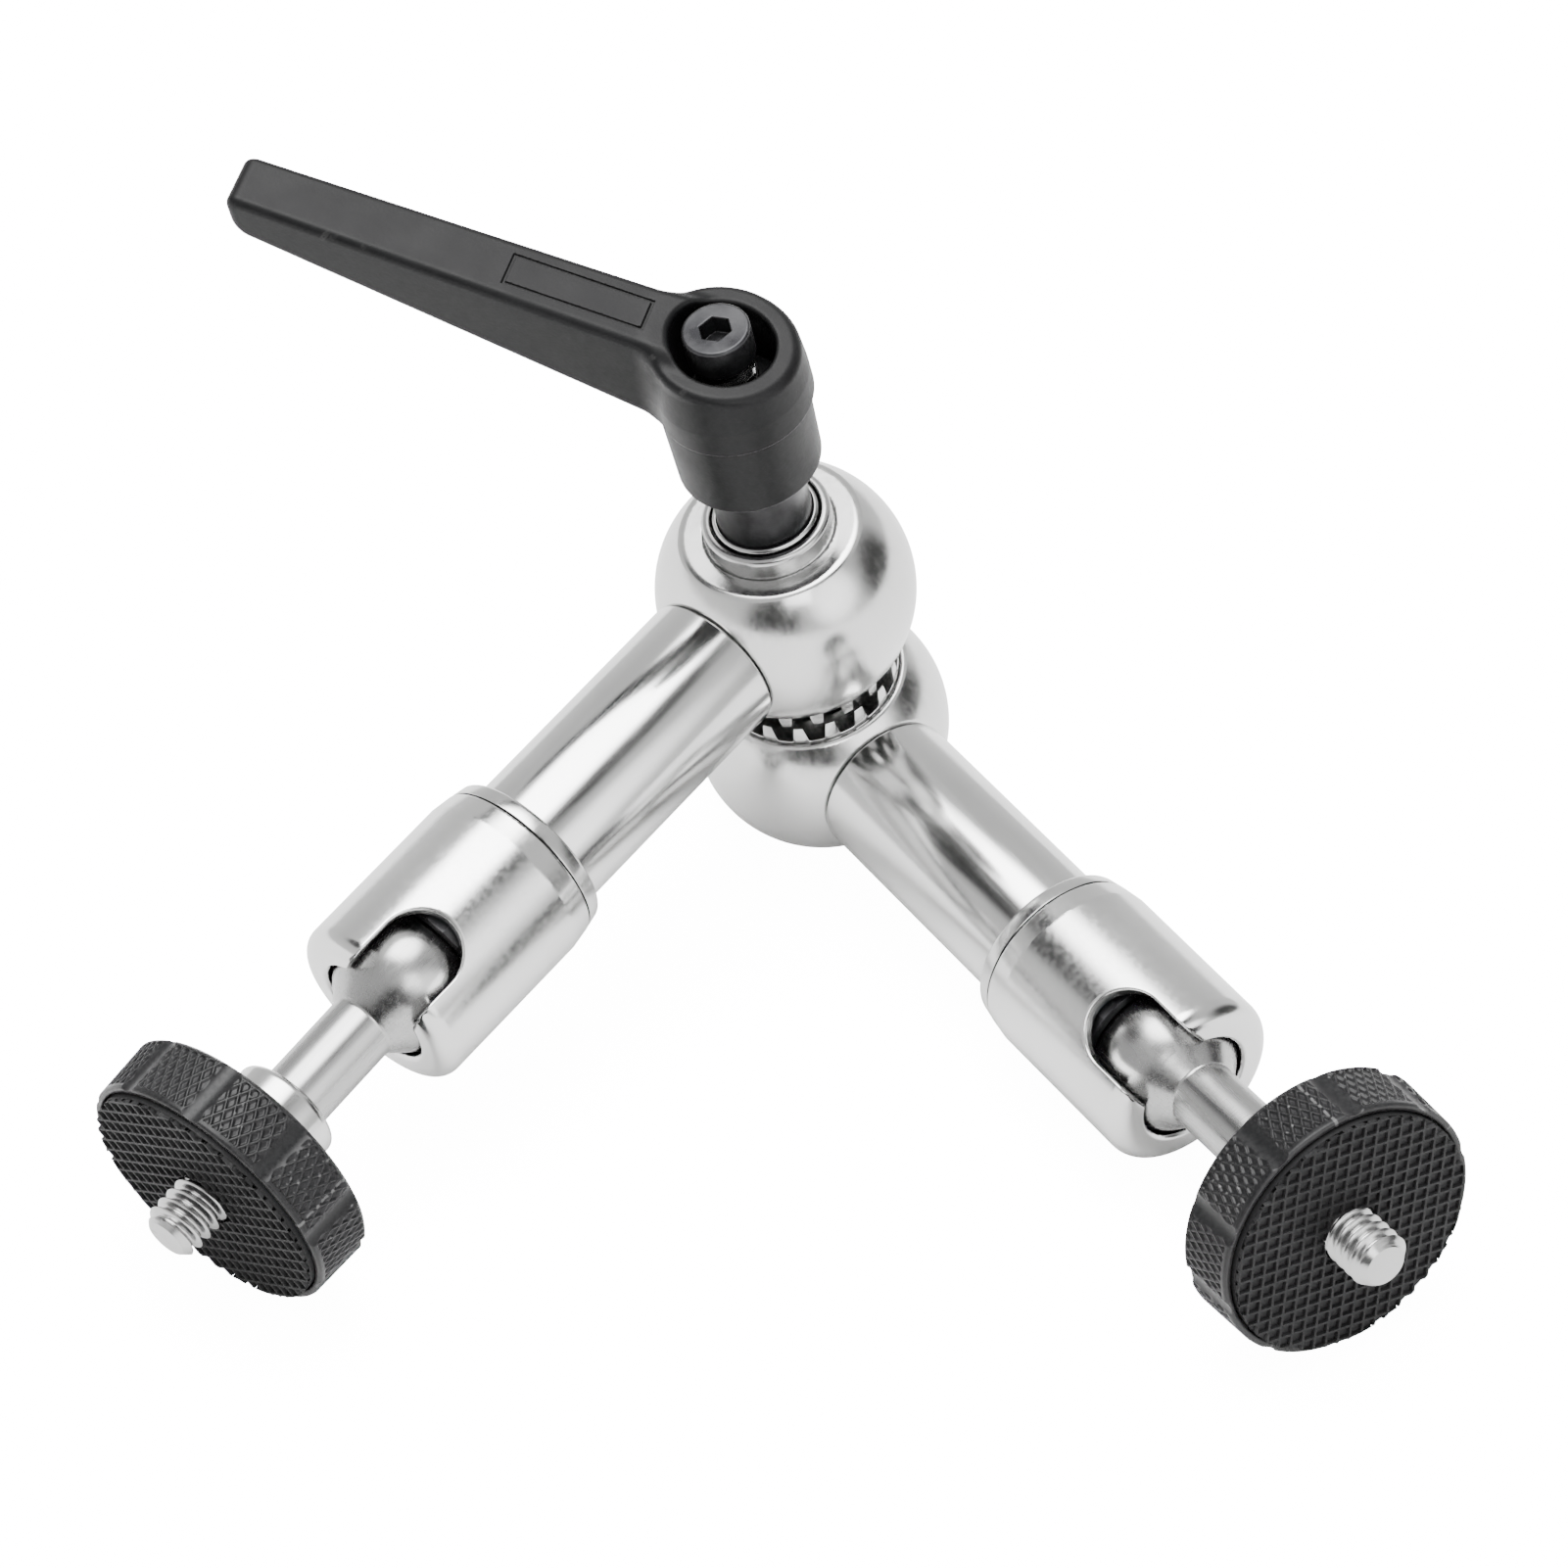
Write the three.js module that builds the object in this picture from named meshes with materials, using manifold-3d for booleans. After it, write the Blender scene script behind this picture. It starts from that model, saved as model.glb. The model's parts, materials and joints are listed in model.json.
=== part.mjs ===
// Articulating friction arm: two steel arms joined by a knuckle that one lever locks, each arm
// ending in a ball stud with a 1/4"-20 screw, a knurled lock disc and a rubber pad.
// Millimetres, +Z up. The arm rests on its lower side, as it lies on a table.
import * as THREE from 'three';
import { mergeVertices } from 'three/addons/utils/BufferGeometryUtils.js';
import Module from 'manifold-3d';

const wasm = await Module();
wasm.setup();

// ---- driving dimensions ----
const GAP = 0.3;                 // play between separate pieces
const DEG = Math.PI / 180;
const UP = new THREE.Vector3(0, 0, 1);

const ARM_ANGLE = 76.4;          // lower arm's heading, counted from the upper arm
const ARM_HEIGHT = 11.6;         // height of each arm's axis above or below the knuckle's middle
const LEAN = 13.6;               // how far the knuckle's axis leans when the arm lies down
const LEAN_HEADING = -9.8;       // heading of that lean, counted from the upper arm
const BISECTOR_HEADING = -90;    // the arms open towards -Y

const KNUCKLE_R = 14;
const KNUCKLE_OUTER_FLAT = 10.2; // from the ball's centre to the flat around the stem
const KNUCKLE_INNER_FLAT = 9.07; // from the ball's centre to the flat that faces the other knuckle
const KNUCKLE_BORE_R = 6.6;
const RING_BORE_R = 7.1;
const RING_BORE_DEPTH = 2.6;
const GUIDE_RING_INNER_R = 6;
const GUIDE_RING_PROUD = 2.5;
const GUIDE_RING_CHAMFER = 0.5;
const RETAINING_RING_R = 5.7;
const RETAINING_RING_PROUD = 2.8;
const RETAINING_RING_HEIGHT = 3.8;

const TOOTH_COUNT = 18;
const TOOTH_RING_R = 10;
const TOOTH_RING_BORE_R = 7;
const TOOTH_SEAT_DEPTH = 1.5;
const TOOTH_TIP_GAP = 0.2;       // from each ring's tips to the knuckle's middle
const TOOTH_ROOT_WIDTH = 1.9;
const TOOTH_TIP_WIDTH = 0.75;
const TOOTH_INSET = 0.15;        // from the ring's bore and rim

const TUBE_R = 8;
const TUBE_BORE_R = 4.4;
const TUBE_START = 11.7;
const TUBE_END = 50;
const SPIGOT_R = 6;
const SPIGOT_START = 8.5;
const SPOT_FACE_R = 8.6;
const ROD_R = 4;

const SOCKET_R = 10.2;
const SOCKET_REAR_R = 9.85;
const SOCKET_BORE_R = 8.4;
const SOCKET_RING_START = 41.5;
const SOCKET_RING_REAR_R = 9.2;
const SOCKET_RING_FRONT_R = 9.8;
const SOCKET_START = 43.5;
const SOCKET_CHAMFER_END = 46;
const SOCKET_END = 66.2;
const SOCKET_NOSE_R = 2.1;
const SOCKET_WALL_START = 63.2;
const MOUTH_R = 6.3;
const MOUTH_CHAMFER = 0.4;
const SLOT_HALF_WIDTH = 4.4;
const SEAT_FRONT = 57.4;
const SEAT_R = 8.1;

const BALL_AT = 61;              // from the knuckle's axis to the ball's centre
const BALL_R = 7.6;
const NECK_R = 4.1;
const NECK_END = 7.1;            // from the ball's centre, as are the next values
const SHAFT_R = 3.75;
const SHAFT_END = 18.2;
const HUB_START = 18.5;
const DISC_START = 24.3;
const DISC_END = 31.5;
const SCREW_START = 12;
const HUB_R = 5.9;
const HUB_EDGE_R = 1;
const SCREW_R = 3.17;            // 1/4"-20
const SCREW_TIP_R = 2.3;
const SCREW_CHAMFER = 0.9;
const TENON_R = 2.2;
const DISC_BACK_R = 15;
const DISC_CHAMFER = 0.6;
const DISC_FRONT_R = 14.7;
const DISC_GROOVES = 10;
const DISC_GROOVE_R = 2.4;
const DISC_GROOVE_DEPTH = 0.55;
const PAD_R = 13.8;
const PAD_PROUD = 0.9;
const PAD_THICKNESS = 2.2;

// One entry for each arm. side is +1 above the knuckle's middle and -1 below it, and discAdvance is
// how far the lock disc has been screwed forward. The two end screws are not cut to one length.
const ARMS = [
  {
    name: 'upper', side: 1, heading: 0, slotRoll: 28.5, tilt: 3, sway: 1.66,
    discRoll: 3.1, discAdvance: 0, screwEnd: 37.9,
  },
  {
    name: 'lower', side: -1, heading: ARM_ANGLE, slotRoll: -23.7, tilt: 9.8, sway: 1.95,
    discRoll: 12.3, discAdvance: 1.3, screwEnd: 39.4,
  },
];

const STEM_R = 5.1;
const STEM_BOTTOM = 19;
const STEM_SHOULDER = 33.4;
const STEM_TOP = 41.2;
const STEM_INNER_R = 5.85;       // inside the lever's hub
const SPLINE_COUNT = 12;
const SPLINE_DEPTH = 0.5;
const SPLINE_BOTTOM = 38;
const BOLT_R = 3;
const BOLT_TOP = 30.5;
const BOLT_HEAD_R = 6.2;
const BOLT_HEAD_HEIGHT = 3.6;
const BOLT_HEAD_INSET = 0.4;     // below the flat that it sits in, and its edge's chamfer
const BOLT_HEX_ACROSS_FLATS = 5;
const BOLT_HEX_DEPTH = 2.5;
const WEDGE_WIDE_R = 6.2;
const WEDGE_NARROW_R = 3.9;
const WEDGE_OUTER = 17.4;        // height of the wedge's wide end above the knuckle's middle
const WEDGE_INNER = 6;
const WEDGE_LAND = 1.5;          // length of the straight part at the wide end
const SPRING_COIL_R = 4.4;
const SPRING_WIRE_R = 0.5;
const THRUST_WASHER_TOP = 18.7;

const LEVER_HEADING = -67.7;
const HUB_BOTTOM = 33.1;
const HUB_TOP = 51.4;            // height of the hub's sloping top on its axis
const HUB_TOP_SLOPE = 13;
const HUB_FOOT_R = 7.6;
const HUB_FOOT_CHAMFER = 0.4;
const HUB_LINE = 42.9;            // where the sleeve ends and the wider head starts
const HUB_SLEEVE_R = 7.85;
const HUB_HEAD_R = 8.05;
const HUB_TOP_R = 7.65;
const RECESS_R = 5.3;
const RECESS_FLOOR = 43.5;
const HUB_BORE_R = 6.25;
const LEVER_REACH = 50;
const LEVER_SLOPE = 17.9;
const LEVER_WIDTH_HUB = 8.2;
const LEVER_WIDTH_END = 6.6;
const LEVER_EDGE_R = 0.9;
const LEVER_START = 3;           // the grip's root, inside the hub
const LEVER_TOP = 51.8;          // height of the grip's top line on the hub's axis
const LEVER_BOTTOM = 42.2;       // height of the grip's underside at the hub
const LEVER_BOTTOM_START = 7;
const LEVER_END_DEPTH = 5.3;
const CAP_HEAD_R = 3.6;
const CAP_HEAD_TOP = 53.4;
const CAP_HEAD_HEIGHT = 4;
const CAP_SHANK_R = 2;
const CAP_SHANK_BOTTOM = 33;
const CAP_CHAMFER = 0.3;
const CAP_HEX_ACROSS_FLATS = 3;
const CAP_HEX_DEPTH = 2.2;
const CAP_SPRING_COIL_R = 3;
const CAP_SPRING_WIRE_R = 0.35;

// ---- colours ----
function finish(color, roughness, metalness) {
  return new THREE.MeshStandardMaterial({ color, roughness, metalness });
}
const STEEL = () => finish(0xc9cac8, 0.28, 1);
const POLISHED = () => finish(0xb4b4b2, 0.18, 1);
const BLACK_OXIDE = () => finish(0x1d1c1d, 0.38, 0.9);
const BLACK_CASTING = () => finish(0x222223, 0.55, 0.2);
const ANODISED = () => finish(0x141414, 0.45, 0.5);
const RUBBER = () => finish(0x181818, 0.8, 0);

// ---- solids ----
// Merges shared vertices, drops collapsed triangles and turns the faces outwards.
function solid(geometry) {
  const bare = geometry.clone();
  bare.deleteAttribute('normal');
  bare.deleteAttribute('uv');
  const merged = mergeVertices(bare, 1e-4);
  const points = merged.getAttribute('position');
  const index = merged.getIndex().array;
  const corner = [new THREE.Vector3(), new THREE.Vector3(), new THREE.Vector3()];
  const kept = [];
  let volume = 0;
  for (let i = 0; i < index.length; i += 3) {
    const tri = [index[i], index[i + 1], index[i + 2]];
    if (new Set(tri).size < 3) continue;
    tri.forEach((vertex, k) => corner[k].fromBufferAttribute(points, vertex));
    volume += corner[0].dot(corner[1].clone().cross(corner[2]));
    kept.push(...tri);
  }
  if (volume < 0) kept.reverse();
  merged.setIndex(kept);
  return merged;
}

function toManifold(geometry) {
  const closed = solid(geometry);
  const vertProperties = new Float32Array(closed.getAttribute('position').array);
  const triVerts = new Uint32Array(closed.getIndex().array);
  return new wasm.Manifold(new wasm.Mesh({ numProp: 3, vertProperties, triVerts }));
}

function fromManifold(body) {
  const mesh = body.getMesh();
  const geometry = new THREE.BufferGeometry();
  geometry.setAttribute('position', new THREE.BufferAttribute(mesh.vertProperties, 3));
  geometry.setIndex(new THREE.BufferAttribute(mesh.triVerts, 1));
  return geometry;
}

function cut(geometry, ...tools) {
  const result = tools.reduce((body, tool) => body.subtract(toManifold(tool)), toManifold(geometry));
  return fromManifold(result);
}

function join(geometry, ...others) {
  const result = others.reduce((body, other) => body.add(toManifold(other)), toManifold(geometry));
  return fromManifold(result);
}

// A turned solid about Z from [radius, height] points. An open outline starts and ends on the
// axis, and a closed one is a ring.
function turned(outline, segments = 24, closed = false) {
  const points = outline.map(([radius, height]) => new THREE.Vector2(radius, height));
  if (closed) points.push(points[0].clone());
  return new THREE.LatheGeometry(points, segments).rotateX(Math.PI / 2);
}

function ring(outline, segments = 24) {
  return turned(outline, segments, true);
}

function rod(radius, low, high, segments = 20) {
  return turned([[0, low], [radius, low], [radius, high], [0, high]], segments);
}

function sleeve(inner, outer, low, high, segments = 24) {
  return ring([[inner, low], [outer, low], [outer, high], [inner, high]], segments);
}

// Points on an arc in [radius, height] terms; angles are counted from the +radius direction.
function arc(radius, height, size, from, to, steps) {
  return Array.from({ length: steps + 1 }, (_, i) => {
    const angle = (from + (to - from) * i / steps) * DEG;
    return [radius + size * Math.cos(angle), height + size * Math.sin(angle)];
  });
}

// Lays a piece that was turned about Z along +X.
function alongX(geometry) {
  return geometry.rotateY(Math.PI / 2);
}

function prism(corners, low, high) {
  const shape = new THREE.Shape(corners.map(([x, y]) => new THREE.Vector2(x, y)));
  const geometry = new THREE.ExtrudeGeometry(shape, { depth: high - low, bevelEnabled: false });
  return geometry.translate(0, 0, low);
}

// A closed spring about Z with flat dead ends left out.
function spring(coilR, wireR, low, high, turns) {
  const steps = turns * 8;
  const path = new THREE.CatmullRomCurve3(Array.from({ length: steps + 1 }, (_, i) => {
    const angle = 2 * Math.PI * turns * i / steps;
    const height = low + wireR + (high - low - 2 * wireR) * i / steps;
    return new THREE.Vector3(coilR * Math.cos(angle), coilR * Math.sin(angle), height);
  }));
  const section = new THREE.Shape(Array.from({ length: 5 }, (_, i) => {
    const angle = i * 2 * Math.PI / 5;
    return new THREE.Vector2(wireR * Math.cos(angle), wireR * Math.sin(angle));
  }));
  return new THREE.ExtrudeGeometry(section, { steps, extrudePath: path });
}

function place(group, name, geometry, material) {
  const mesh = new THREE.Mesh(solid(geometry), material);
  mesh.name = name;
  group.add(mesh);
  return mesh;
}

// ---- knuckle ----
// A ball with a flat on each side, bored along Z. Z is counted outwards from the knuckle's middle.
function knuckleGeometry(ringBore) {
  const outerZ = ARM_HEIGHT + KNUCKLE_OUTER_FLAT;
  const innerZ = ARM_HEIGHT - KNUCKLE_INNER_FLAT;
  const outerAngle = Math.asin(KNUCKLE_OUTER_FLAT / KNUCKLE_R) / DEG;
  const innerAngle = -Math.asin(KNUCKLE_INNER_FLAT / KNUCKLE_R) / DEG;
  const seatR = TOOTH_RING_R + GAP;
  const seatZ = innerZ + TOOTH_SEAT_DEPTH;
  const outline = [
    [seatR, seatZ], [seatR, innerZ],
    ...arc(0, ARM_HEIGHT, KNUCKLE_R, innerAngle, outerAngle, 9),
  ];
  if (ringBore) {
    const shelf = outerZ - RING_BORE_DEPTH;
    outline.push([RING_BORE_R, outerZ], [RING_BORE_R, shelf], [KNUCKLE_BORE_R, shelf]);
  } else {
    outline.push([KNUCKLE_BORE_R, outerZ]);
  }
  outline.push([KNUCKLE_BORE_R, seatZ]);
  const rodBore = alongX(rod(TUBE_BORE_R, 0, KNUCKLE_R, 24)).translate(0, 0, ARM_HEIGHT);
  const spigotBore = alongX(rod(SPIGOT_R + GAP, SPIGOT_START - GAP, KNUCKLE_R, 24))
    .translate(0, 0, ARM_HEIGHT);
  const spotFace = alongX(rod(SPOT_FACE_R, TUBE_START - GAP, KNUCKLE_R + 1, 28))
    .translate(0, 0, ARM_HEIGHT);
  return cut(ring(outline, 32), rodBore, spigotBore, spotFace);
}

// A ring with radial teeth that point towards -Z, to the knuckle's middle.
function toothRingGeometry() {
  const seatZ = ARM_HEIGHT - KNUCKLE_INNER_FLAT + TOOTH_SEAT_DEPTH;
  const rootZ = ARM_HEIGHT - KNUCKLE_INNER_FLAT - GAP;
  const base = sleeve(TOOTH_RING_BORE_R, TOOTH_RING_R, rootZ, seatZ - GAP, TOOTH_COUNT * 2);
  const root = TOOTH_ROOT_WIDTH / 2;
  const tip = TOOTH_TIP_WIDTH / 2;
  const corners = [[-root, rootZ + GAP], [root, rootZ + GAP], [tip, TOOTH_TIP_GAP],
    [-tip, TOOTH_TIP_GAP]];
  const teeth = Array.from({ length: TOOTH_COUNT }, (_, i) => {
    const tooth = prism(corners, TOOTH_RING_BORE_R + TOOTH_INSET, TOOTH_RING_R - TOOTH_INSET);
    const radial = narrowInwards(tooth.rotateX(Math.PI / 2).rotateZ(Math.PI / 2));
    return radial.rotateZ(2 * Math.PI * i / TOOTH_COUNT);
  });
  return join(base, ...teeth);
}

// Scales a radial bar's width with its distance from the axis, so that its flanks are radial.
function narrowInwards(geometry) {
  const points = geometry.getAttribute('position');
  for (let i = 0; i < points.count; i += 1) {
    points.setY(i, points.getY(i) * Math.abs(points.getX(i)) / TOOTH_RING_R);
  }
  return geometry;
}

// A cone that spreads the push rod when it is driven towards the knuckle's middle.
function wedgeGeometry() {
  const bore = BOLT_R + GAP;
  const land = WEDGE_OUTER - WEDGE_LAND;
  return ring([[bore, WEDGE_INNER], [WEDGE_NARROW_R, WEDGE_INNER], [WEDGE_WIDE_R, land],
    [WEDGE_WIDE_R, WEDGE_OUTER], [bore, WEDGE_OUTER]], 20);
}

// ---- arms: every piece lies along +X from the knuckle's axis ----
function tubeGeometry() {
  return alongX(ring([[TUBE_BORE_R, SPIGOT_START], [SPIGOT_R, SPIGOT_START], [SPIGOT_R, TUBE_START],
    [TUBE_R, TUBE_START], [TUBE_R, TUBE_END], [TUBE_BORE_R, TUBE_END]]));
}

function pushRodGeometry() {
  const wedgeSlope = (WEDGE_WIDE_R - WEDGE_NARROW_R) / (WEDGE_OUTER - WEDGE_LAND - WEDGE_INNER);
  const wedgeR = WEDGE_NARROW_R + wedgeSlope * (ARM_HEIGHT - WEDGE_INNER);
  const tipCentre = wedgeR + GAP + ROD_R * Math.hypot(1, wedgeSlope);
  const end = TUBE_END;
  return alongX(turned([...arc(0, tipCentre, ROD_R, -90, 0, 4), [ROD_R, end], [0, end]], 16));
}

// Pushed against the back of the ball by the push rod.
function brakeSeatGeometry() {
  const start = TUBE_END + GAP;
  const body = alongX(rod(SEAT_R, start, SEAT_FRONT, 24));
  const ball = new THREE.SphereGeometry(BALL_R + GAP, 24, 12).rotateZ(Math.PI / 2);
  return cut(body, ball.translate(BALL_AT, 0, 0));
}

function socketRingGeometry() {
  const end = SOCKET_START - GAP;
  const inner = TUBE_R + GAP;
  return alongX(ring([[inner, SOCKET_RING_START], [SOCKET_RING_REAR_R, SOCKET_RING_START],
    [SOCKET_RING_REAR_R + 0.3, SOCKET_RING_START + 0.3], [SOCKET_RING_FRONT_R, end], [inner, end]]));
}

function socketGeometry() {
  const nose = SOCKET_R - SOCKET_NOSE_R;
  const body = alongX(ring([
    [SOCKET_BORE_R, SOCKET_START], [SOCKET_REAR_R, SOCKET_START], [SOCKET_R, SOCKET_CHAMFER_END],
    ...arc(nose, SOCKET_END - SOCKET_NOSE_R, SOCKET_NOSE_R, 0, 90, 4),
    [MOUTH_R + MOUTH_CHAMFER, SOCKET_END], [MOUTH_R, SOCKET_END - MOUTH_CHAMFER],
    [MOUTH_R, SOCKET_WALL_START], [SOCKET_BORE_R, SOCKET_WALL_START],
  ], 28));
  const ball = new THREE.SphereGeometry(BALL_R + GAP, 28, 14).rotateZ(Math.PI / 2);
  return cut(body, ball.translate(BALL_AT, 0, 0), slotGeometry());
}

// The open-ended slot that lets the stud swing square to the arm, cut towards +Z.
function slotGeometry() {
  const width = SLOT_HALF_WIDTH;
  const front = SOCKET_END - BALL_AT + 2;
  const corners = arc(0, 0, width, 90, 270, 10);
  corners.push([front, -width], [front, width]);
  return prism(corners, 0, SOCKET_R + 2).translate(BALL_AT, 0, 0);
}

// ---- stud: every piece lies along +X from the ball's centre ----
function ballStudGeometry() {
  const neckAngle = Math.asin(NECK_R / BALL_R) / DEG;
  const bore = TENON_R + GAP;
  return alongX(turned([
    ...arc(0, 0, BALL_R, -90, 90 - neckAngle, 11), [SHAFT_R, NECK_END],
    [SHAFT_R, SHAFT_END], [bore, SHAFT_END], [bore, SCREW_START - GAP], [0, SCREW_START - GAP],
  ], 24));
}

function cameraScrewGeometry(end) {
  return alongX(turned([[0, SCREW_START], [TENON_R, SCREW_START], [TENON_R, HUB_START],
    [SCREW_R, HUB_START], [SCREW_R, end - SCREW_CHAMFER], [SCREW_TIP_R, end], [0, end]], 20));
}

function discHubGeometry() {
  const bore = SCREW_R + GAP;
  const end = DISC_START - GAP;
  const edge = HUB_EDGE_R;
  return alongX(ring([[bore, HUB_START], [HUB_R - edge, HUB_START],
    ...arc(HUB_R - edge, HUB_START + edge, edge, -60, 0, 2), [HUB_R, end], [bore, end]], 24));
}

// The lock disc tapers slightly to its front and has shallow grooves around its knurled edge.
function lockDiscGeometry() {
  const bore = SCREW_R + GAP;
  const recessR = PAD_R + GAP;
  const recessFloor = DISC_END + PAD_PROUD - PAD_THICKNESS - GAP;
  const body = ring([
    [bore, DISC_START], [DISC_BACK_R - DISC_CHAMFER, DISC_START],
    [DISC_BACK_R, DISC_START + DISC_CHAMFER],
    [DISC_FRONT_R, DISC_END], [recessR, DISC_END], [recessR, recessFloor], [bore, recessFloor],
  ], 40);
  const grooves = Array.from({ length: DISC_GROOVES }, (_, i) => {
    const reach = DISC_BACK_R + DISC_GROOVE_R - DISC_GROOVE_DEPTH;
    const groove = rod(DISC_GROOVE_R, DISC_START - 1, DISC_END + 1, 8).translate(-reach, 0, 0);
    return groove.rotateZ(2 * Math.PI * i / DISC_GROOVES);
  });
  return alongX(cut(body, ...grooves));
}

function padGeometry() {
  const front = DISC_END + PAD_PROUD;
  return alongX(sleeve(SCREW_R + GAP, PAD_R, front - PAD_THICKNESS, front, 32));
}

// ---- lever ----
// A bar with radial ribs around its edge, for the coupling between the stem and the lever.
function splinedBar(rootR, tipR, low, high) {
  const corners = [];
  for (let i = 0; i < SPLINE_COUNT; i += 1) {
    for (const [share, radius] of [[0, rootR], [0.3, rootR], [0.5, tipR], [0.8, tipR]]) {
      const angle = 2 * Math.PI * (i + share) / SPLINE_COUNT;
      corners.push([radius * Math.cos(angle), radius * Math.sin(angle)]);
    }
  }
  return prism(corners, low, high);
}

function stemGeometry() {
  const boltBore = BOLT_R + GAP;
  const screwBore = CAP_SHANK_R + GAP;
  const boreEnd = BOLT_TOP + GAP;
  const body = turned([[0, STEM_BOTTOM], [STEM_R, STEM_BOTTOM], [STEM_R, STEM_SHOULDER],
    [STEM_INNER_R, STEM_SHOULDER], [STEM_INNER_R, SPLINE_BOTTOM - 0.5], [0, SPLINE_BOTTOM - 0.5]]);
  const head = splinedBar(STEM_INNER_R - SPLINE_DEPTH, STEM_INNER_R, SPLINE_BOTTOM - 1, STEM_TOP);
  return cut(join(body, head), rod(boltBore, 0, boreEnd, 16), rod(screwBore, 0, STEM_TOP + 1, 16));
}

function leverHubGeometry() {
  const top = HUB_TOP + 6;
  const edge = HUB_FOOT_CHAMFER;
  return turned([
    [0, HUB_BOTTOM], [HUB_FOOT_R - edge, HUB_BOTTOM], [HUB_FOOT_R, HUB_BOTTOM + edge],
    [HUB_SLEEVE_R, HUB_LINE], [HUB_HEAD_R, HUB_LINE + edge], [HUB_TOP_R, HUB_TOP - 1],
    [HUB_TOP_R, top], [0, top],
  ], 28);
}

// The grip rises from the hub and tapers in width and in depth.
function leverGripGeometry() {
  const rise = Math.tan(LEVER_SLOPE * DEG);
  const edge = LEVER_EDGE_R;
  const end = LEVER_REACH - edge;
  const corner = 2;
  const topAt = (x) => LEVER_TOP - edge + rise * x;
  const endBottom = topAt(LEVER_REACH) - LEVER_END_DEPTH + edge;
  const shape = new THREE.Shape();
  shape.moveTo(LEVER_START, topAt(LEVER_START));
  shape.lineTo(end - corner, topAt(end - corner));
  shape.quadraticCurveTo(end, topAt(end), end, topAt(end) - corner);
  shape.quadraticCurveTo(end, endBottom, end - corner, endBottom);
  shape.lineTo(LEVER_BOTTOM_START, LEVER_BOTTOM + edge);
  shape.lineTo(LEVER_START, LEVER_BOTTOM + edge);
  const depth = LEVER_WIDTH_HUB - 2 * edge;
  const bar = new THREE.ExtrudeGeometry(shape, {
    depth, curveSegments: 3, bevelThickness: edge, bevelSize: edge, bevelSegments: 1,
  }).rotateX(Math.PI / 2).translate(0, LEVER_WIDTH_HUB / 2 - edge, 0);
  return taperAcross(bar);
}

function taperAcross(geometry) {
  const points = geometry.getAttribute('position');
  for (let i = 0; i < points.count; i += 1) {
    const share = Math.min(Math.max(points.getX(i) / LEVER_REACH, 0), 1);
    const width = LEVER_WIDTH_HUB + (LEVER_WIDTH_END - LEVER_WIDTH_HUB) * share;
    points.setY(i, points.getY(i) * width / LEVER_WIDTH_HUB);
  }
  return geometry;
}

function leverHandleGeometry() {
  const above = new THREE.BoxGeometry(60, 60, 40).translate(0, 0, 20)
    .rotateY(-HUB_TOP_SLOPE * DEG).translate(0, 0, HUB_TOP);
  const recess = rod(RECESS_R, RECESS_FLOOR, HUB_TOP + 12, 24);
  const web = STEM_TOP + GAP;
  const bore = rod(HUB_BORE_R, HUB_BOTTOM - 1, SPLINE_BOTTOM, 24);
  const spline = splinedBar(HUB_BORE_R - SPLINE_DEPTH, HUB_BORE_R, SPLINE_BOTTOM - 0.5, web);
  const screwHole = rod(CAP_SHANK_R + GAP, web - 1, RECESS_FLOOR + 1, 16);
  const hub = cut(leverHubGeometry(), above);
  return cut(join(hub, leverGripGeometry()), recess, bore, spline, screwHole);
}

function capScrewGeometry() {
  const under = CAP_HEAD_TOP - CAP_HEAD_HEIGHT;
  const body = turned([[0, CAP_SHANK_BOTTOM], [CAP_SHANK_R, CAP_SHANK_BOTTOM], [CAP_SHANK_R, under],
    [CAP_HEAD_R, under], [CAP_HEAD_R, CAP_HEAD_TOP - CAP_CHAMFER],
    [CAP_HEAD_R - CAP_CHAMFER, CAP_HEAD_TOP], [0, CAP_HEAD_TOP]]);
  return cut(body, hexagon(CAP_HEX_ACROSS_FLATS, CAP_HEAD_TOP - CAP_HEX_DEPTH, CAP_HEAD_TOP + 1));
}

function hexagon(acrossFlats, low, high) {
  const radius = acrossFlats / 2 / Math.cos(30 * DEG);
  const corners = Array.from({ length: 6 }, (_, i) => {
    return [radius * Math.cos(i * Math.PI / 3), radius * Math.sin(i * Math.PI / 3)];
  });
  return prism(corners, low, high);
}

function clampBoltGeometry() {
  const inset = BOLT_HEAD_INSET;
  const bottom = -ARM_HEIGHT - KNUCKLE_OUTER_FLAT + inset;
  const under = bottom + BOLT_HEAD_HEIGHT;
  const body = turned([[0, bottom], [BOLT_HEAD_R - inset, bottom], [BOLT_HEAD_R, bottom + inset],
    [BOLT_HEAD_R, under], [BOLT_R, under], [BOLT_R, BOLT_TOP], [0, BOLT_TOP]]);
  return cut(body, hexagon(BOLT_HEX_ACROSS_FLATS, bottom - 1, bottom + BOLT_HEX_DEPTH));
}

// ---- assembly ----
const arm = new THREE.Group();
const knuckle = new THREE.Group();
arm.add(knuckle);

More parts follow.
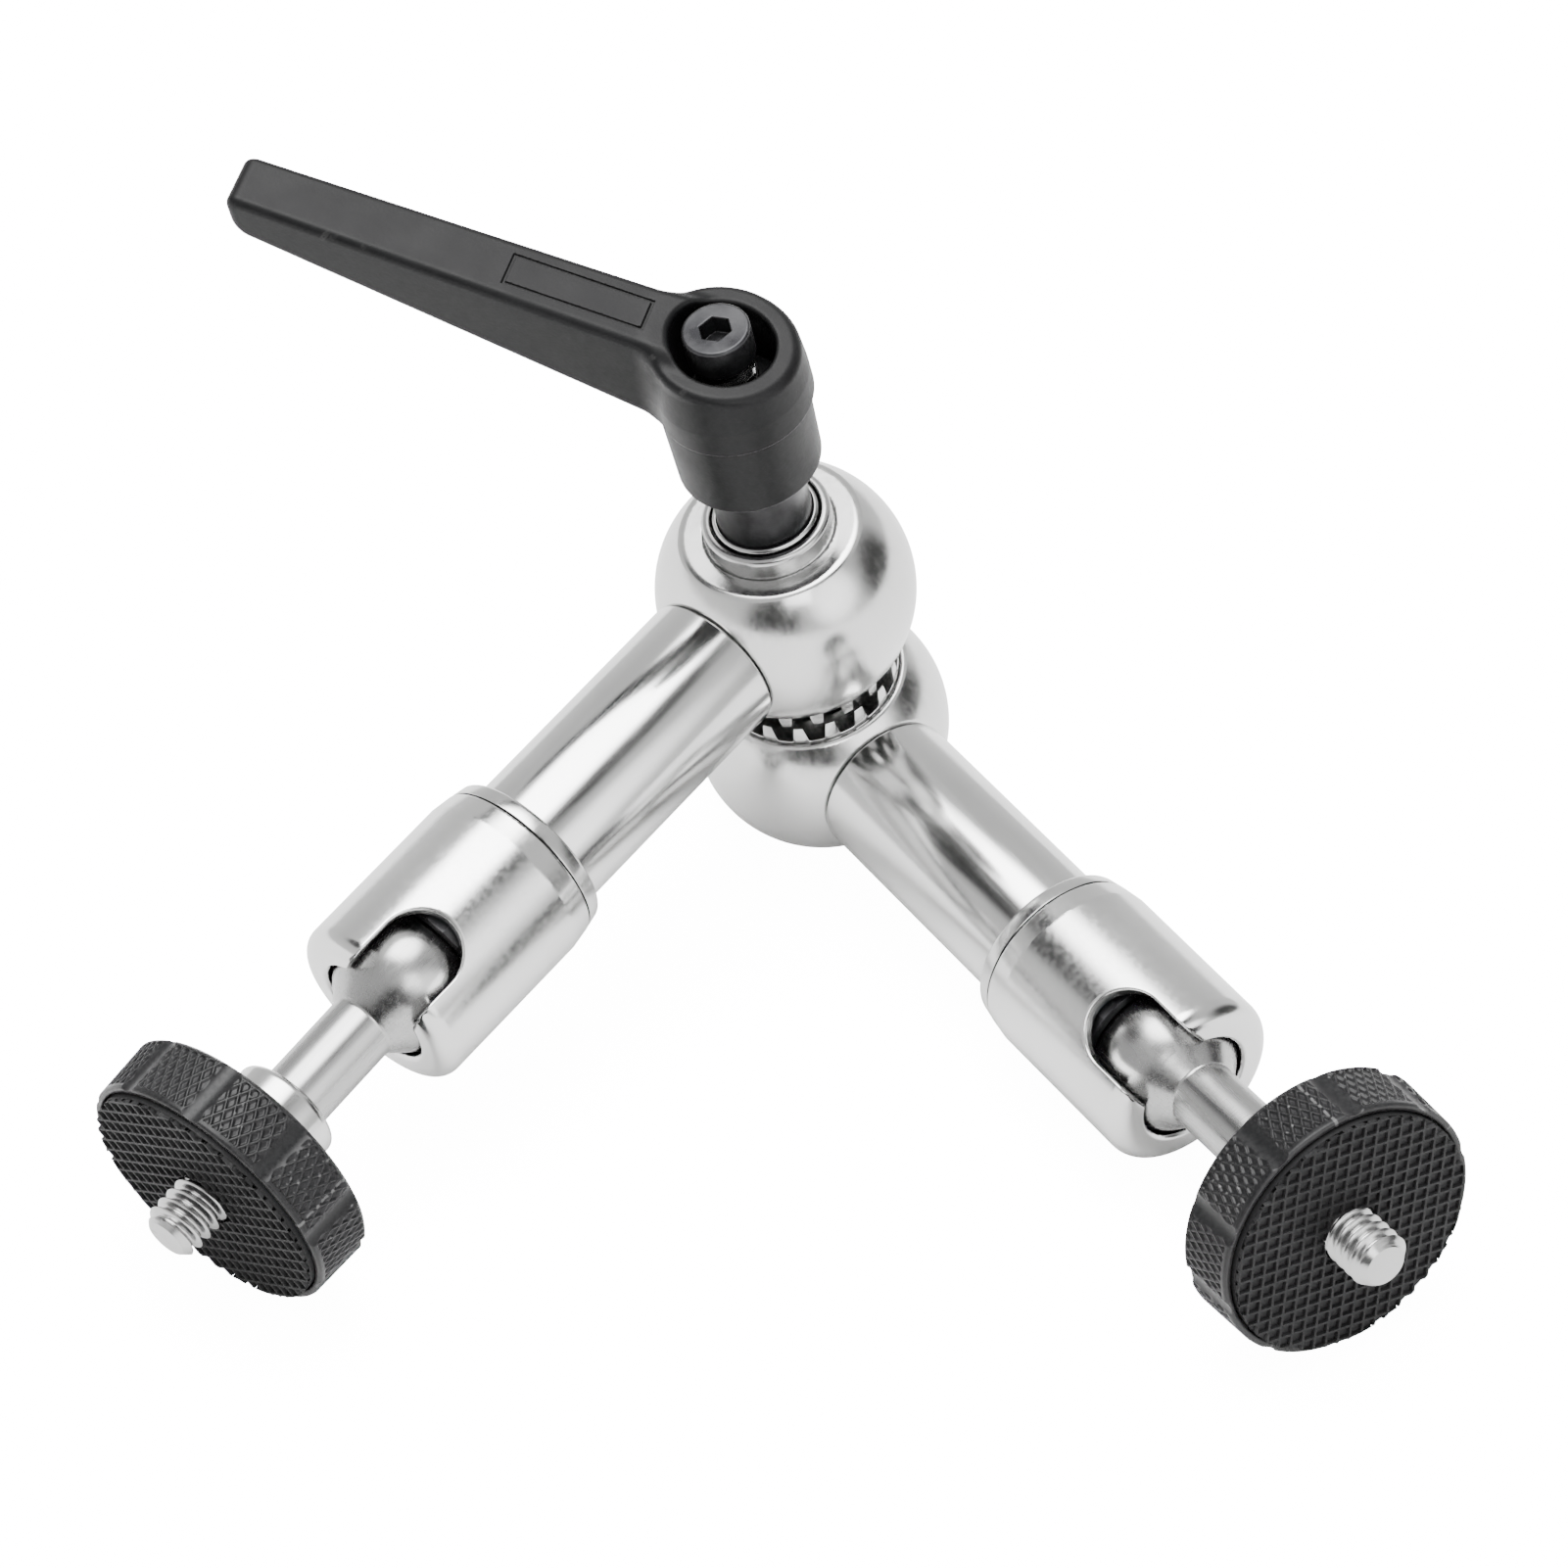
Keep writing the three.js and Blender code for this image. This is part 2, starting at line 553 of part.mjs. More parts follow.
// Everything above the knuckle's middle is made once and mirrored through it for the lower half.
function addHalf(options) {
  const { name, side, heading, slotRoll, tilt, sway, discRoll, discAdvance, screwEnd } = options;
  const half = new THREE.Group();
  half.rotation.z = heading * DEG;
  knuckle.add(half);

  const core = new THREE.Group();
  core.rotation.x = side > 0 ? 0 : Math.PI;
  half.add(core);
  place(core, `${name}_knuckle`, knuckleGeometry(side > 0), STEEL());
  place(core, `${name}_wedge`, wedgeGeometry(), POLISHED());
  const teeth = place(core, `${name}_tooth_ring`, toothRingGeometry(), STEEL());
  teeth.rotation.z = side > 0 ? (ARM_ANGLE + 180 / TOOTH_COUNT) * DEG : 0;

  const limb = new THREE.Group();
  limb.position.z = side * ARM_HEIGHT;
  half.add(limb);
  place(limb, `${name}_arm_tube`, tubeGeometry(), STEEL());
  place(limb, `${name}_push_rod`, pushRodGeometry(), POLISHED());
  place(limb, `${name}_brake_seat`, brakeSeatGeometry(), BLACK_OXIDE());
  place(limb, `${name}_socket_ring`, socketRingGeometry(), STEEL());

  const slot = new THREE.Group();
  slot.rotation.x = -slotRoll * DEG;
  limb.add(slot);
  place(slot, `${name}_socket`, socketGeometry(), STEEL());

  const stud = new THREE.Group();
  stud.position.x = BALL_AT;
  stud.rotation.order = 'YZX';
  stud.rotation.y = -tilt * DEG;
  stud.rotation.z = sway * DEG;
  slot.add(stud);
  place(stud, `${name}_ball_stud`, ballStudGeometry(), POLISHED());
  place(stud, `${name}_camera_screw`, cameraScrewGeometry(screwEnd), STEEL());

  const nut = new THREE.Group();
  nut.position.x = discAdvance;
  stud.add(nut);
  place(nut, `${name}_disc_hub`, discHubGeometry(), STEEL());
  const disc = place(nut, `${name}_lock_disc`, lockDiscGeometry(), ANODISED());
  disc.rotation.x = discRoll * DEG;
  place(nut, `${name}_grip_pad`, padGeometry(), RUBBER());
}

function addLever() {
  const outerZ = ARM_HEIGHT + KNUCKLE_OUTER_FLAT;
  const shelf = outerZ - RING_BORE_DEPTH + GAP;
  const guideOuter = RING_BORE_R - GAP;
  const guideTop = outerZ + GUIDE_RING_PROUD;
  place(knuckle, 'stem_guide_ring', ring([
    [GUIDE_RING_INNER_R, shelf], [guideOuter, shelf], [guideOuter, guideTop - GUIDE_RING_CHAMFER],
    [guideOuter - GUIDE_RING_CHAMFER, guideTop], [GUIDE_RING_INNER_R, guideTop],
  ]), POLISHED());
  const retainingTop = outerZ + RETAINING_RING_PROUD;
  place(knuckle, 'stem_retaining_ring', sleeve(STEM_R + GAP, RETAINING_RING_R,
    retainingTop - RETAINING_RING_HEIGHT, retainingTop), POLISHED());
  place(knuckle, 'thrust_washer', sleeve(BOLT_R + GAP, WEDGE_WIDE_R, WEDGE_OUTER + GAP,
    THRUST_WASHER_TOP), POLISHED());
  place(knuckle, 'clamp_bolt', clampBoltGeometry(), STEEL());
  const springEnd = WEDGE_INNER - GAP;
  place(knuckle, 'wedge_spring', spring(SPRING_COIL_R, SPRING_WIRE_R, -springEnd, springEnd, 5),
    POLISHED());

  const lever = new THREE.Group();
  lever.rotation.z = LEVER_HEADING * DEG;
  knuckle.add(lever);
  place(lever, 'lever_stem', stemGeometry(), BLACK_OXIDE());
  place(lever, 'lever_handle', leverHandleGeometry(), BLACK_CASTING());
  place(lever, 'lever_cap_screw', capScrewGeometry(), BLACK_OXIDE());
  const springTop = CAP_HEAD_TOP - CAP_HEAD_HEIGHT - GAP;
  place(lever, 'lever_return_spring', spring(CAP_SPRING_COIL_R, CAP_SPRING_WIRE_R,
    RECESS_FLOOR + GAP, springTop, 4), POLISHED());
}

ARMS.forEach(addHalf);
addLever();

// The knuckle's axis leans until the knuckle and both lock discs touch the table, and the row's
// origin is the middle of the part's footprint.
const leanAxis = new THREE.Vector3(-Math.sin(LEAN_HEADING * DEG), Math.cos(LEAN_HEADING * DEG), 0);
const turnHeading = (BISECTOR_HEADING - ARM_ANGLE / 2) * DEG;
knuckle.quaternion.setFromAxisAngle(UP, turnHeading)
  .multiply(new THREE.Quaternion().setFromAxisAngle(leanAxis, LEAN * DEG));
arm.updateMatrixWorld(true);
const bounds = new THREE.Box3().setFromObject(arm, true);
const middle = bounds.getCenter(new THREE.Vector3());
arm.position.set(-middle.x, -middle.y, -bounds.min.z);

export default arm;
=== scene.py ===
"""A stainless steel articulating friction arm: its looks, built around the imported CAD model.

Outlines are in millimetres, as (radius, height) points for turned pieces. Every piece is made in
the frame of the part that carries it, and stands for the CAD node of the same name.
"""

import json
import math

import bmesh
import bpy
import numpy as np
from mathutils import Matrix, Vector


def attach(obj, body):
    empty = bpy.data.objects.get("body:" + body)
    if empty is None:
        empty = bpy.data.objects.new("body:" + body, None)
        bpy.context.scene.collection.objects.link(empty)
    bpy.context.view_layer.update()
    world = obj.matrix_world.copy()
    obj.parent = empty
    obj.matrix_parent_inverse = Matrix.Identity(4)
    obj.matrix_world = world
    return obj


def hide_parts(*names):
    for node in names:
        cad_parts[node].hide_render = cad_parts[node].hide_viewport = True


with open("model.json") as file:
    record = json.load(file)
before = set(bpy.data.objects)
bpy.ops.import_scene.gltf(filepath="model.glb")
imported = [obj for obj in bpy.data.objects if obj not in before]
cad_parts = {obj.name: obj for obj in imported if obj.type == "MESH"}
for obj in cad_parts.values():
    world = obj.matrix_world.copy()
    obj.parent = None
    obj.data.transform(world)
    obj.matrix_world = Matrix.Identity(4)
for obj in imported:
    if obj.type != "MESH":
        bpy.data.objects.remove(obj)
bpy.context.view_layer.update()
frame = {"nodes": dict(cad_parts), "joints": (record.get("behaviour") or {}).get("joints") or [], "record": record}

MM = 0.001
FIT = 0.03                   # play between pieces that touch
TURN = 2 * math.pi

# ---- driving sizes, in millimetres ----
KNUCKLE_R = 14
KNUCKLE_OUTER_FLAT = 10.2
KNUCKLE_INNER_FLAT = 9.07
KNUCKLE_BORE_R = 6.6
RING_BORE_R = 7.1
RING_BORE_DEPTH = 2.6
TOOTH_COUNT = 18
TOOTH_RING_R = 10
TOOTH_BORE_R = 7
TOOTH_SEAT_DEPTH = 1.5
TUBE_R = 8
TUBE_BORE_R = 4.4
TUBE_START = 11.7
TUBE_END = 50
SPIGOT_R = 6
SPIGOT_START = 8.5
SPOT_FACE_R = 8.12
SOCKET_R = 10.2
SOCKET_BORE_R = 8.4
SOCKET_START = 43.5
SOCKET_END = 66.2
BALL_R = 7.6
SHAFT_R = 3.75
SHAFT_END = 18.2
HUB_START = 18.5
HUB_R = 5.9
DISC_START = 24.3
DISC_END = 31.5
DISC_BACK_R = 15
DISC_FRONT_R = 14.7
PAD_R = 13.8
PAD_PROUD = 0.9
SCREW_R = 3.17               # 1/4"-20
SCREW_PITCH = 1.27
HUB_BOTTOM = 33.1
HUB_TOP = 51.4
LEVER_HEADING = math.radians(-67.7)

# ---- frames, from the CAD's joints ----
JOINTS = {joint["name"]: joint for joint in frame["joints"]}
BODY_OF = {node: body for body, nodes in frame["record"]["behaviour"]["bodies"].items()
           for node in nodes}
SLOT_OF = {part["node"]: part["material_slot"] for part in frame["record"]["subparts"]}
MOUNT_AT = {mount["name"]: Vector(mount["pos_m"]) for mount in frame["record"]["mounts"]}


def point_of(joint):
    return Vector(JOINTS[joint]["pos_m"])


def axis_of(joint):
    return Vector(JOINTS[joint]["axis"]).normalized()


def frame_at(origin, x, z):
    """The frame at origin whose X is nearest x among those with this Z."""
    z = z.normalized()
    y = z.cross(x).normalized()
    matrix = Matrix((y.cross(z), y, z)).transposed().to_4x4()
    matrix.translation = origin
    return matrix


def turned_about_x(matrix):
    """A frame whose Z runs along the given frame's X, for pieces that are turned about Z."""
    return matrix @ Matrix(((0, 0, 1), (1, 0, 0), (0, 1, 0))).to_4x4()


KNUCKLE_AT = point_of("knuckle_turn")
KNUCKLE_AXIS = axis_of("knuckle_turn")


def arm_frames(arm):
    """The frames of one arm: its knuckle half, its tube, its socket's slot, and its stud."""
    ball = point_of(f"{arm}_ball_tilt")
    rise = (ball - KNUCKLE_AT).dot(KNUCKLE_AXIS)
    along = (ball - KNUCKLE_AT - KNUCKLE_AXIS * rise).normalized()
    tube_at = KNUCKLE_AT + KNUCKLE_AXIS * rise
    across = -axis_of(f"{arm}_ball_tilt")
    stud_x = axis_of(f"{arm}_disc_travel")
    return {
        "core": frame_at(KNUCKLE_AT, along, KNUCKLE_AXIS * math.copysign(1, rise)),
        "tube": frame_at(tube_at, along, KNUCKLE_AXIS),
        "slot": frame_at(tube_at, along, along.cross(across)),
        "stud": frame_at(ball, stud_x, stud_x.cross(across)),
        "height": abs(rise) / MM,
        "reach": (ball - tube_at).length / MM,
    }


ARM = {arm: arm_frames(arm) for arm in ("upper", "lower")}
ARM_HEIGHT = ARM["upper"]["height"]
BALL_AT = ARM["upper"]["reach"]
KNUCKLE = ARM["upper"]["core"]
LEVER = KNUCKLE @ Matrix.Rotation(LEVER_HEADING, 4, "Z")


# ---- meshes ----
def grid_quads(rows, columns, wrap_rows=False, wrap_columns=True):
    """The faces of a grid of points that are numbered row by row."""
    row = np.arange(rows if wrap_rows else rows - 1)[:, None]
    column = np.arange(columns if wrap_columns else columns - 1)[None, :]
    next_row, next_column = (row + 1) % rows, (column + 1) % columns
    corners = np.broadcast_arrays(row * columns + column, row * columns + next_column,
                                  next_row * columns + next_column, next_row * columns + column)
    return np.stack(corners, -1).reshape(-1, 4)


def turned(outline, segments=128, closed=False, carve=None):
    """A solid turned about Z. carve(angle, radius, height) may move its points."""
    outline = np.array(outline, float)
    angle = np.broadcast_to(TURN * np.arange(segments) / segments, (len(outline), segments))
    radius = np.repeat(outline[:, :1], segments, 1)
    height = np.repeat(outline[:, 1:], segments, 1)
    if carve:
        radius, height = carve(angle, radius, height)
    points = np.stack([radius * np.cos(angle), radius * np.sin(angle), height], -1)
    return points.reshape(-1, 3), grid_quads(len(outline), segments, closed)


def arc(radius, height, size, start, end, steps=8):
    """Points on an arc in (radius, height) terms, its angles in degrees from +radius."""
    return [(radius + size * math.cos(angle), height + size * math.sin(angle))
            for angle in np.radians(np.linspace(start, end, steps + 1))]


def softened(outline, edge=0.2, closed=False, steps=3):
    """The outline with each sharp corner eased over a length of edge."""
    points = [Vector(p) for p in outline]
    count = len(points)
    soft = []
    for i, corner in enumerate(points):
        before, after = points[i - 1], points[(i + 1) % count]
        end = not closed and i in (0, count - 1)
        if end or (corner - before).angle(after - corner, 0) < math.radians(20):
            soft.append(tuple(corner))
            continue
        back = min(edge, (before - corner).length * 0.45)
        on = min(edge, (after - corner).length * 0.45)
        first = corner + (before - corner).normalized() * back
        last = corner + (after - corner).normalized() * on
        for t in np.linspace(0, 1, steps + 1):
            soft.append(tuple(first * (1 - t) ** 2 + corner * 2 * t * (1 - t) + last * t * t))
    return soft


def surface_net(distance, xs, ys, zs):
    """The zero surface of a signed distance: its points, faces and exact normals.

    Each grid cell that the surface crosses gives one point, which Newton steps then put on it.
    """
    least_slope, newton_steps = 0.3, 3
    axes = [np.asarray(a, float) for a in (xs, ys, zs)]
    x, y, z = np.meshgrid(*axes, indexing="ij")
    value = distance(x, y, z)
    inside = value < 0
    corners = [(i, j, k) for i in (0, 1) for j in (0, 1) for k in (0, 1)]
    cells = tuple(n - 1 for n in inside.shape)
    count = sum(inside[i:i + cells[0], j:j + cells[1], k:k + cells[2]].astype(np.int8)
                for i, j, k in corners)
    found = np.argwhere((count > 0) & (count < len(corners)))
    corner_at = [found + c for c in corners]
    corner_value = [value[tuple(at.T)] for at in corner_at]
    corner_point = [np.stack([axes[d][at[:, d]] for d in range(3)], -1) for at in corner_at]
    total, crossings = np.zeros((len(found), 3)), np.zeros(len(found))
    for a in range(len(corners)):
        for b in range(a + 1, len(corners)):
            if sum(abs(p - q) for p, q in zip(corners[a], corners[b])) != 1:
                continue
            crosses = (corner_value[a] < 0) != (corner_value[b] < 0)
            gap = np.where(crosses, corner_value[a] - corner_value[b], 1)
            share = (corner_value[a] / gap)[:, None]
            middle = corner_point[a] * (1 - share) + corner_point[b] * share
            total += np.where(crosses[:, None], middle, 0)
            crossings += crosses
    points = total / crossings[:, None]
    reach = max(np.diff(a).max() for a in axes)
    for _ in range(newton_steps):
        slope, size = gradient(distance, points)
        step = (distance(*points.T) / np.maximum(size, least_slope))[:, None]
        points = points - slope * np.clip(step, -reach, reach)
    normals, _ = gradient(distance, points)
    index = np.full(cells, -1, np.int64)
    index[tuple(found.T)] = np.arange(len(found))
    faces = np.concatenate([net_faces(inside, index, axis) for axis in range(3)])
    return points, faces, normals


def gradient(distance, points, reach=0.02):
    """The unit gradient of a signed distance at each point, and its size."""
    slope = np.stack([distance(*(points + step).T) - distance(*(points - step).T)
                      for step in np.eye(3) * reach], -1) / (2 * reach)
    size = np.linalg.norm(slope, axis=-1)
    return slope / np.maximum(size, 1e-6)[:, None], size


def net_faces(inside, index, axis):
    """A quad around every grid edge along axis that crosses the surface."""
    inside, index = np.moveaxis(inside, axis, 0), np.moveaxis(index, axis, 0)
    crossing = np.argwhere(inside[:-1, 1:-1, 1:-1] != inside[1:, 1:-1, 1:-1])
    i, j, k = crossing[:, 0], crossing[:, 1] + 1, crossing[:, 2] + 1
    ring = np.stack([index[i, j - 1, k - 1], index[i, j, k - 1], index[i, j, k],
                     index[i, j - 1, k]], -1)
    # Moving axis 1 to the front swaps the handedness of the other two.
    outwards = inside[i, j, k] ^ (axis == 1)
    return np.where(outwards[:, None], ring, ring[:, ::-1])


def spaced(low, high, step, fine=(), fine_step=0.08, reach=0.5):
    """Coordinates step apart, and fine_step apart within reach of the fine ones."""
    coordinates = np.arange(low, high + step, step)
    for middle in fine:
        apart = np.abs(coordinates - middle) >= reach + fine_step / 2
        coordinates = coordinates[apart]
    close = [np.arange(middle - reach, middle + reach, fine_step) for middle in fine]
    return np.sort(np.concatenate([coordinates, *close]))


# ---- signed distances, with rounded edges ----
def rounded_max(a, b, edge):
    """Where both are negative, with the edge between them rounded to that radius."""
    outside = np.hypot(np.maximum(a + edge, 0), np.maximum(b + edge, 0))
    return outside + np.minimum(np.maximum(a, b) + edge, 0) - edge


def blended_min(a, b, reach):
    """Either one, with a fillet where they meet."""
    near = np.maximum(reach - np.abs(a - b), 0) / reach
    return np.minimum(a, b) - near * near * reach / 4


def cut_by(body, tool, edge):
    """The body without the tool's inside."""
    return rounded_max(body, -tool, edge)


def cylinder(radius, along, size, low, high):
    """A cylinder of that size from low to high, in terms of the distance from and along its axis."""
    return np.maximum(radius - size, np.maximum(low - along, along - high))


# ---- objects ----
def add_object(name, form, place, material, sharp):
    """An object of that form: points in millimetres, faces and, if it has them, exact normals.

    Without those, edges that turn by more than sharp degrees stay sharp.
    """
    points, faces = form[0] * MM, form[1]
    mesh = bpy.data.meshes.new(name)
    mesh.from_pydata(points.tolist(), [], faces.tolist())
    if len(form) == 3:
        mesh.shade_smooth()
        mesh.normals_split_custom_set_from_vertices(form[2].tolist())
    else:
        clean(mesh)
        mesh.shade_smooth()
        mesh.set_sharp_from_angle(angle=math.radians(sharp))
    mesh.materials.append(material)
    made = bpy.data.objects.new(name, mesh)
    bpy.context.scene.collection.objects.link(made)
    made.matrix_world = place
    return made


def clean(mesh, weld=1e-7):
    """Welds the points that coincide, drops the faces left without area, and faces them outwards."""
    work = bmesh.new()
    work.from_mesh(mesh)
    bmesh.ops.remove_doubles(work, verts=work.verts, dist=weld)
    bmesh.ops.dissolve_degenerate(work, edges=work.edges, dist=weld)
    bmesh.ops.recalc_face_normals(work, faces=work.faces)
    work.to_mesh(mesh)
    work.free()


def joined(*forms):
    """Several forms as one, in the same frame."""
    points = np.concatenate([form[0] for form in forms])
    starts = np.cumsum([0] + [len(form[0]) for form in forms[:-1]])
    faces = np.concatenate([form[1] + start for form, start in zip(forms, starts)])
    return points, faces


def stand_in(node, form, place, material, sharp=30):
    """A piece that is shown instead of a CAD node and moves with that node's body."""
    made = add_object(f"{node}_form", form, place, material, sharp)
    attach(made, BODY_OF[node])
    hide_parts(node)


# ---- materials ----
SOCKET_OF = {"base_color": "Base Color", "metallic": "Metallic", "normal": "Normal",
             "roughness": "Roughness", "specular": "Specular IOR Level"}
NOISE_SPAN = (0.3, 0.7)      # where nearly all of a noise's values lie
RING_DRIFT = 0.0004          # how much turned rings change along their way around


class Shader:
    """A Principled material. Each method but set and connect adds nodes and returns an output."""

    def __init__(self, name, **inputs):
        self.material = bpy.data.materials.new(name)
        self.material.use_nodes = True
        self.tree = self.material.node_tree
        self.surface = self.tree.nodes["Principled BSDF"]
        self.object = self.add("ShaderNodeTexCoord").node.outputs["Object"]
        self.set(**inputs)

    def add(self, kind, inputs=None, **settings):
        node = self.tree.nodes.new(kind)
        for key, value in settings.items():
            setattr(node, key, value)
        for key, value in (inputs or {}).items():
            self.connect(value, node.inputs[key])
        return node.outputs[0]

    def connect(self, value, socket):
        if isinstance(value, bpy.types.NodeSocket):
            self.tree.links.new(value, socket)
        else:
            socket.default_value = value

    def set(self, **inputs):
        for key, value in inputs.items():
            self.connect(value, self.surface.inputs[SOCKET_OF[key]])

    def math(self, operation, a, b=0.0):
        return self.add("ShaderNodeMath", {0: a, 1: b}, operation=operation)

    def noise(self, vector, scale, detail=3.0, roughness=0.5):
        return self.add("ShaderNodeTexNoise", {"Vector": vector, "Scale": scale, "Detail": detail,
                                               "Roughness": roughness})

    def stretched(self, factors):
        """Object coordinates scaled on each axis, so that noise on them runs along an axis."""
        return self.add("ShaderNodeVectorMath", {0: self.object, 1: factors},
                        operation="MULTIPLY")

    def around(self):
        """(distance from Z, height, a trace of the angle): noise on it makes rings, as a lathe does."""
        split = self.add("ShaderNodeSeparateXYZ", {"Vector": self.object}).node
        flat = self.add("ShaderNodeVectorMath", {0: self.object, 1: (1, 1, 0)},
                        operation="MULTIPLY")
        length = self.add("ShaderNodeVectorMath", {0: flat}, operation="LENGTH").node
        turn = self.math("ARCTAN2", split.outputs["Y"], split.outputs["X"])
        return self.add("ShaderNodeCombineXYZ", {
            "X": length.outputs["Value"], "Y": split.outputs["Z"],
            "Z": self.math("MULTIPLY", turn, RING_DRIFT)})

    def ranged(self, value, low, high, span=NOISE_SPAN):
        """A number from low to high as value goes over its span."""
        return self.add("ShaderNodeMapRange", {"Value": value, "From Min": span[0],
                                               "From Max": span[1], "To Min": low,
                                               "To Max": high})

    def mixed(self, factor, a, b):
        """A colour from a to b as factor goes from 0 to 1."""
        mix = self.add("ShaderNodeMix", data_type="RGBA").node
        for value, socket in ((factor, mix.inputs["Factor"]), (a, mix.inputs[6]),
                              (b, mix.inputs[7])):
            self.connect((*value, 1) if isinstance(value, tuple) else value, socket)
        return mix.outputs[2]

    def tinted(self, value, low, high, span=NOISE_SPAN):
        """A colour from low to high as value goes over its span."""
        return self.mixed(self.ranged(value, 0, 1, span), low, high)

    def bump(self, height, strength, distance, normal=None):
        inputs = {"Height": height, "Strength": strength, "Distance": distance}
        if normal is not None:
            inputs["Normal"] = normal
        return self.add("ShaderNodeBump", inputs)

    def pointiness(self):
        return self.add("ShaderNodeNewGeometry").node.outputs["Pointiness"]


def steel(name, low, high, roughness, marks, cloud):
    """Turned steel: fine rings around Z, faint scuffs along it, and cloudy gloss."""
    made = Shader(name, metallic=1.0)
    mark_depth = 0.00001
    rings = made.noise(made.around(), 5000, 2, 0.6)
    scuffs = made.noise(made.stretched((1, 1, 0.06)), 1500, 3, 0.6)
    clouds = made.noise(made.object, 60)
    gloss = made.math("ADD", made.ranged(clouds, -cloud, cloud),
                      made.ranged(scuffs, -cloud, cloud, (0.35, 0.65)))
    made.set(base_color=made.tinted(clouds, low, high),
             roughness=made.math("ADD", gloss, roughness),
             normal=made.bump(scuffs, marks / 2, mark_depth, made.bump(rings, marks, mark_depth)))
    return made.material


def black_oxide():
    """Oxidised steel: nearly black, cloudy, with the lathe's rings."""
    made = Shader("black_oxide", metallic=0.85)
    clouds = made.noise(made.object, 300)
    rings = made.noise(made.around(), 8000, 2)
    made.set(base_color=made.tinted(clouds, (0.018, 0.018, 0.02), (0.05, 0.05, 0.052)),
             roughness=made.ranged(clouds, 0.25, 0.42),
             normal=made.bump(rings, 0.3, 0.00002))
    return made.material


def black_casting():
    """Satin black powder coat: a fine orange peel, dustier in places, lighter along the edges: partly wear, partly
    a painted sheen.
    """
    made = Shader("black_casting", specular=0.16)
    peel = made.noise(made.object, 2600, 2)
    dust = made.noise(made.object, 140, 5, 0.6)
    patches = made.ranged(made.noise(made.object, 900, 4), 0, 1, (0.4, 0.65))
    # Lighter grey along the edges, in patches: partly wear, partly a painted sheen on the edges.
    edge_wear_and_sheen = made.math("MULTIPLY", made.ranged(made.pointiness(), 0, 1, (0.52, 0.6)), patches)
    base = made.tinted(dust, (0.003, 0.003, 0.0033), (0.006, 0.006, 0.0065), (0.35, 0.7))
    made.set(base_color=made.mixed(edge_wear_and_sheen, base, (0.02, 0.02, 0.02)),
             roughness=made.ranged(dust, 0.38, 0.52),
             normal=made.bump(peel, 0.12, 0.0001))
    return made.material


def anodised():
    """Black anodised aluminium, painted lighter grey on its ridges and edges as a highlight."""
    made = Shader("anodised", metallic=0.15, specular=0.25)
    grain = made.noise(made.object, 2200)
    # Painted highlight: ridges and edges are made lighter grey.
    painted_ridge_highlight = made.ranged(made.pointiness(), 0, 1, (0.53, 0.66))
    base = made.tinted(grain, (0.004, 0.004, 0.0045), (0.01, 0.01, 0.0105))
    made.set(base_color=made.mixed(painted_ridge_highlight, base, (0.09, 0.09, 0.09)),
             roughness=made.ranged(grain, 0.3, 0.46),
             normal=made.bump(grain, 0.2, 0.00003))
    return made.material


def rubber():
    """Dull black rubber with a little dust on it."""
    made = Shader("rubber", specular=0.25)
    grain = made.noise(made.object, 3500)
    dust = made.noise(made.object, 160, 4)
    made.set(base_color=made.tinted(dust, (0.005, 0.005, 0.0053), (0.01, 0.01, 0.0105)),
             roughness=made.ranged(grain, 0.55, 0.75),
             normal=made.bump(grain, 0.3, 0.00005))
    return made.material


SATIN = steel("satin_steel", (0.53, 0.53, 0.525), (0.6, 0.6, 0.595), 0.2, 0.2, 0.035)
SOCKET = steel("socket_steel", (0.56, 0.56, 0.555), (0.63, 0.63, 0.625), 0.19, 0.15, 0.035)
TUBE = steel("tube_steel", (0.56, 0.56, 0.555), (0.63, 0.63, 0.625), 0.17, 0.15, 0.035)
POLISHED = steel("polished_steel", (0.36, 0.36, 0.357), (0.46, 0.46, 0.457), 0.24, 0.3, 0.02)
# A darker copy of the steel: painted shade for the ball studs, which sit deep in the sockets.
SHADED_STUD_STEEL = steel("stud_steel_painted_shade", (0.3, 0.3, 0.297), (0.4, 0.4, 0.397), 0.27, 0.4, 0.04)
OXIDE = black_oxide()
CASTING = black_casting()
ANODISED = anodised()
RUBBER = rubber()
SLOT_MATERIAL = {"steel": SATIN, "polished": POLISHED, "black_oxide": OXIDE,
                 "black_casting": CASTING, "anodised": ANODISED, "rubber": RUBBER}


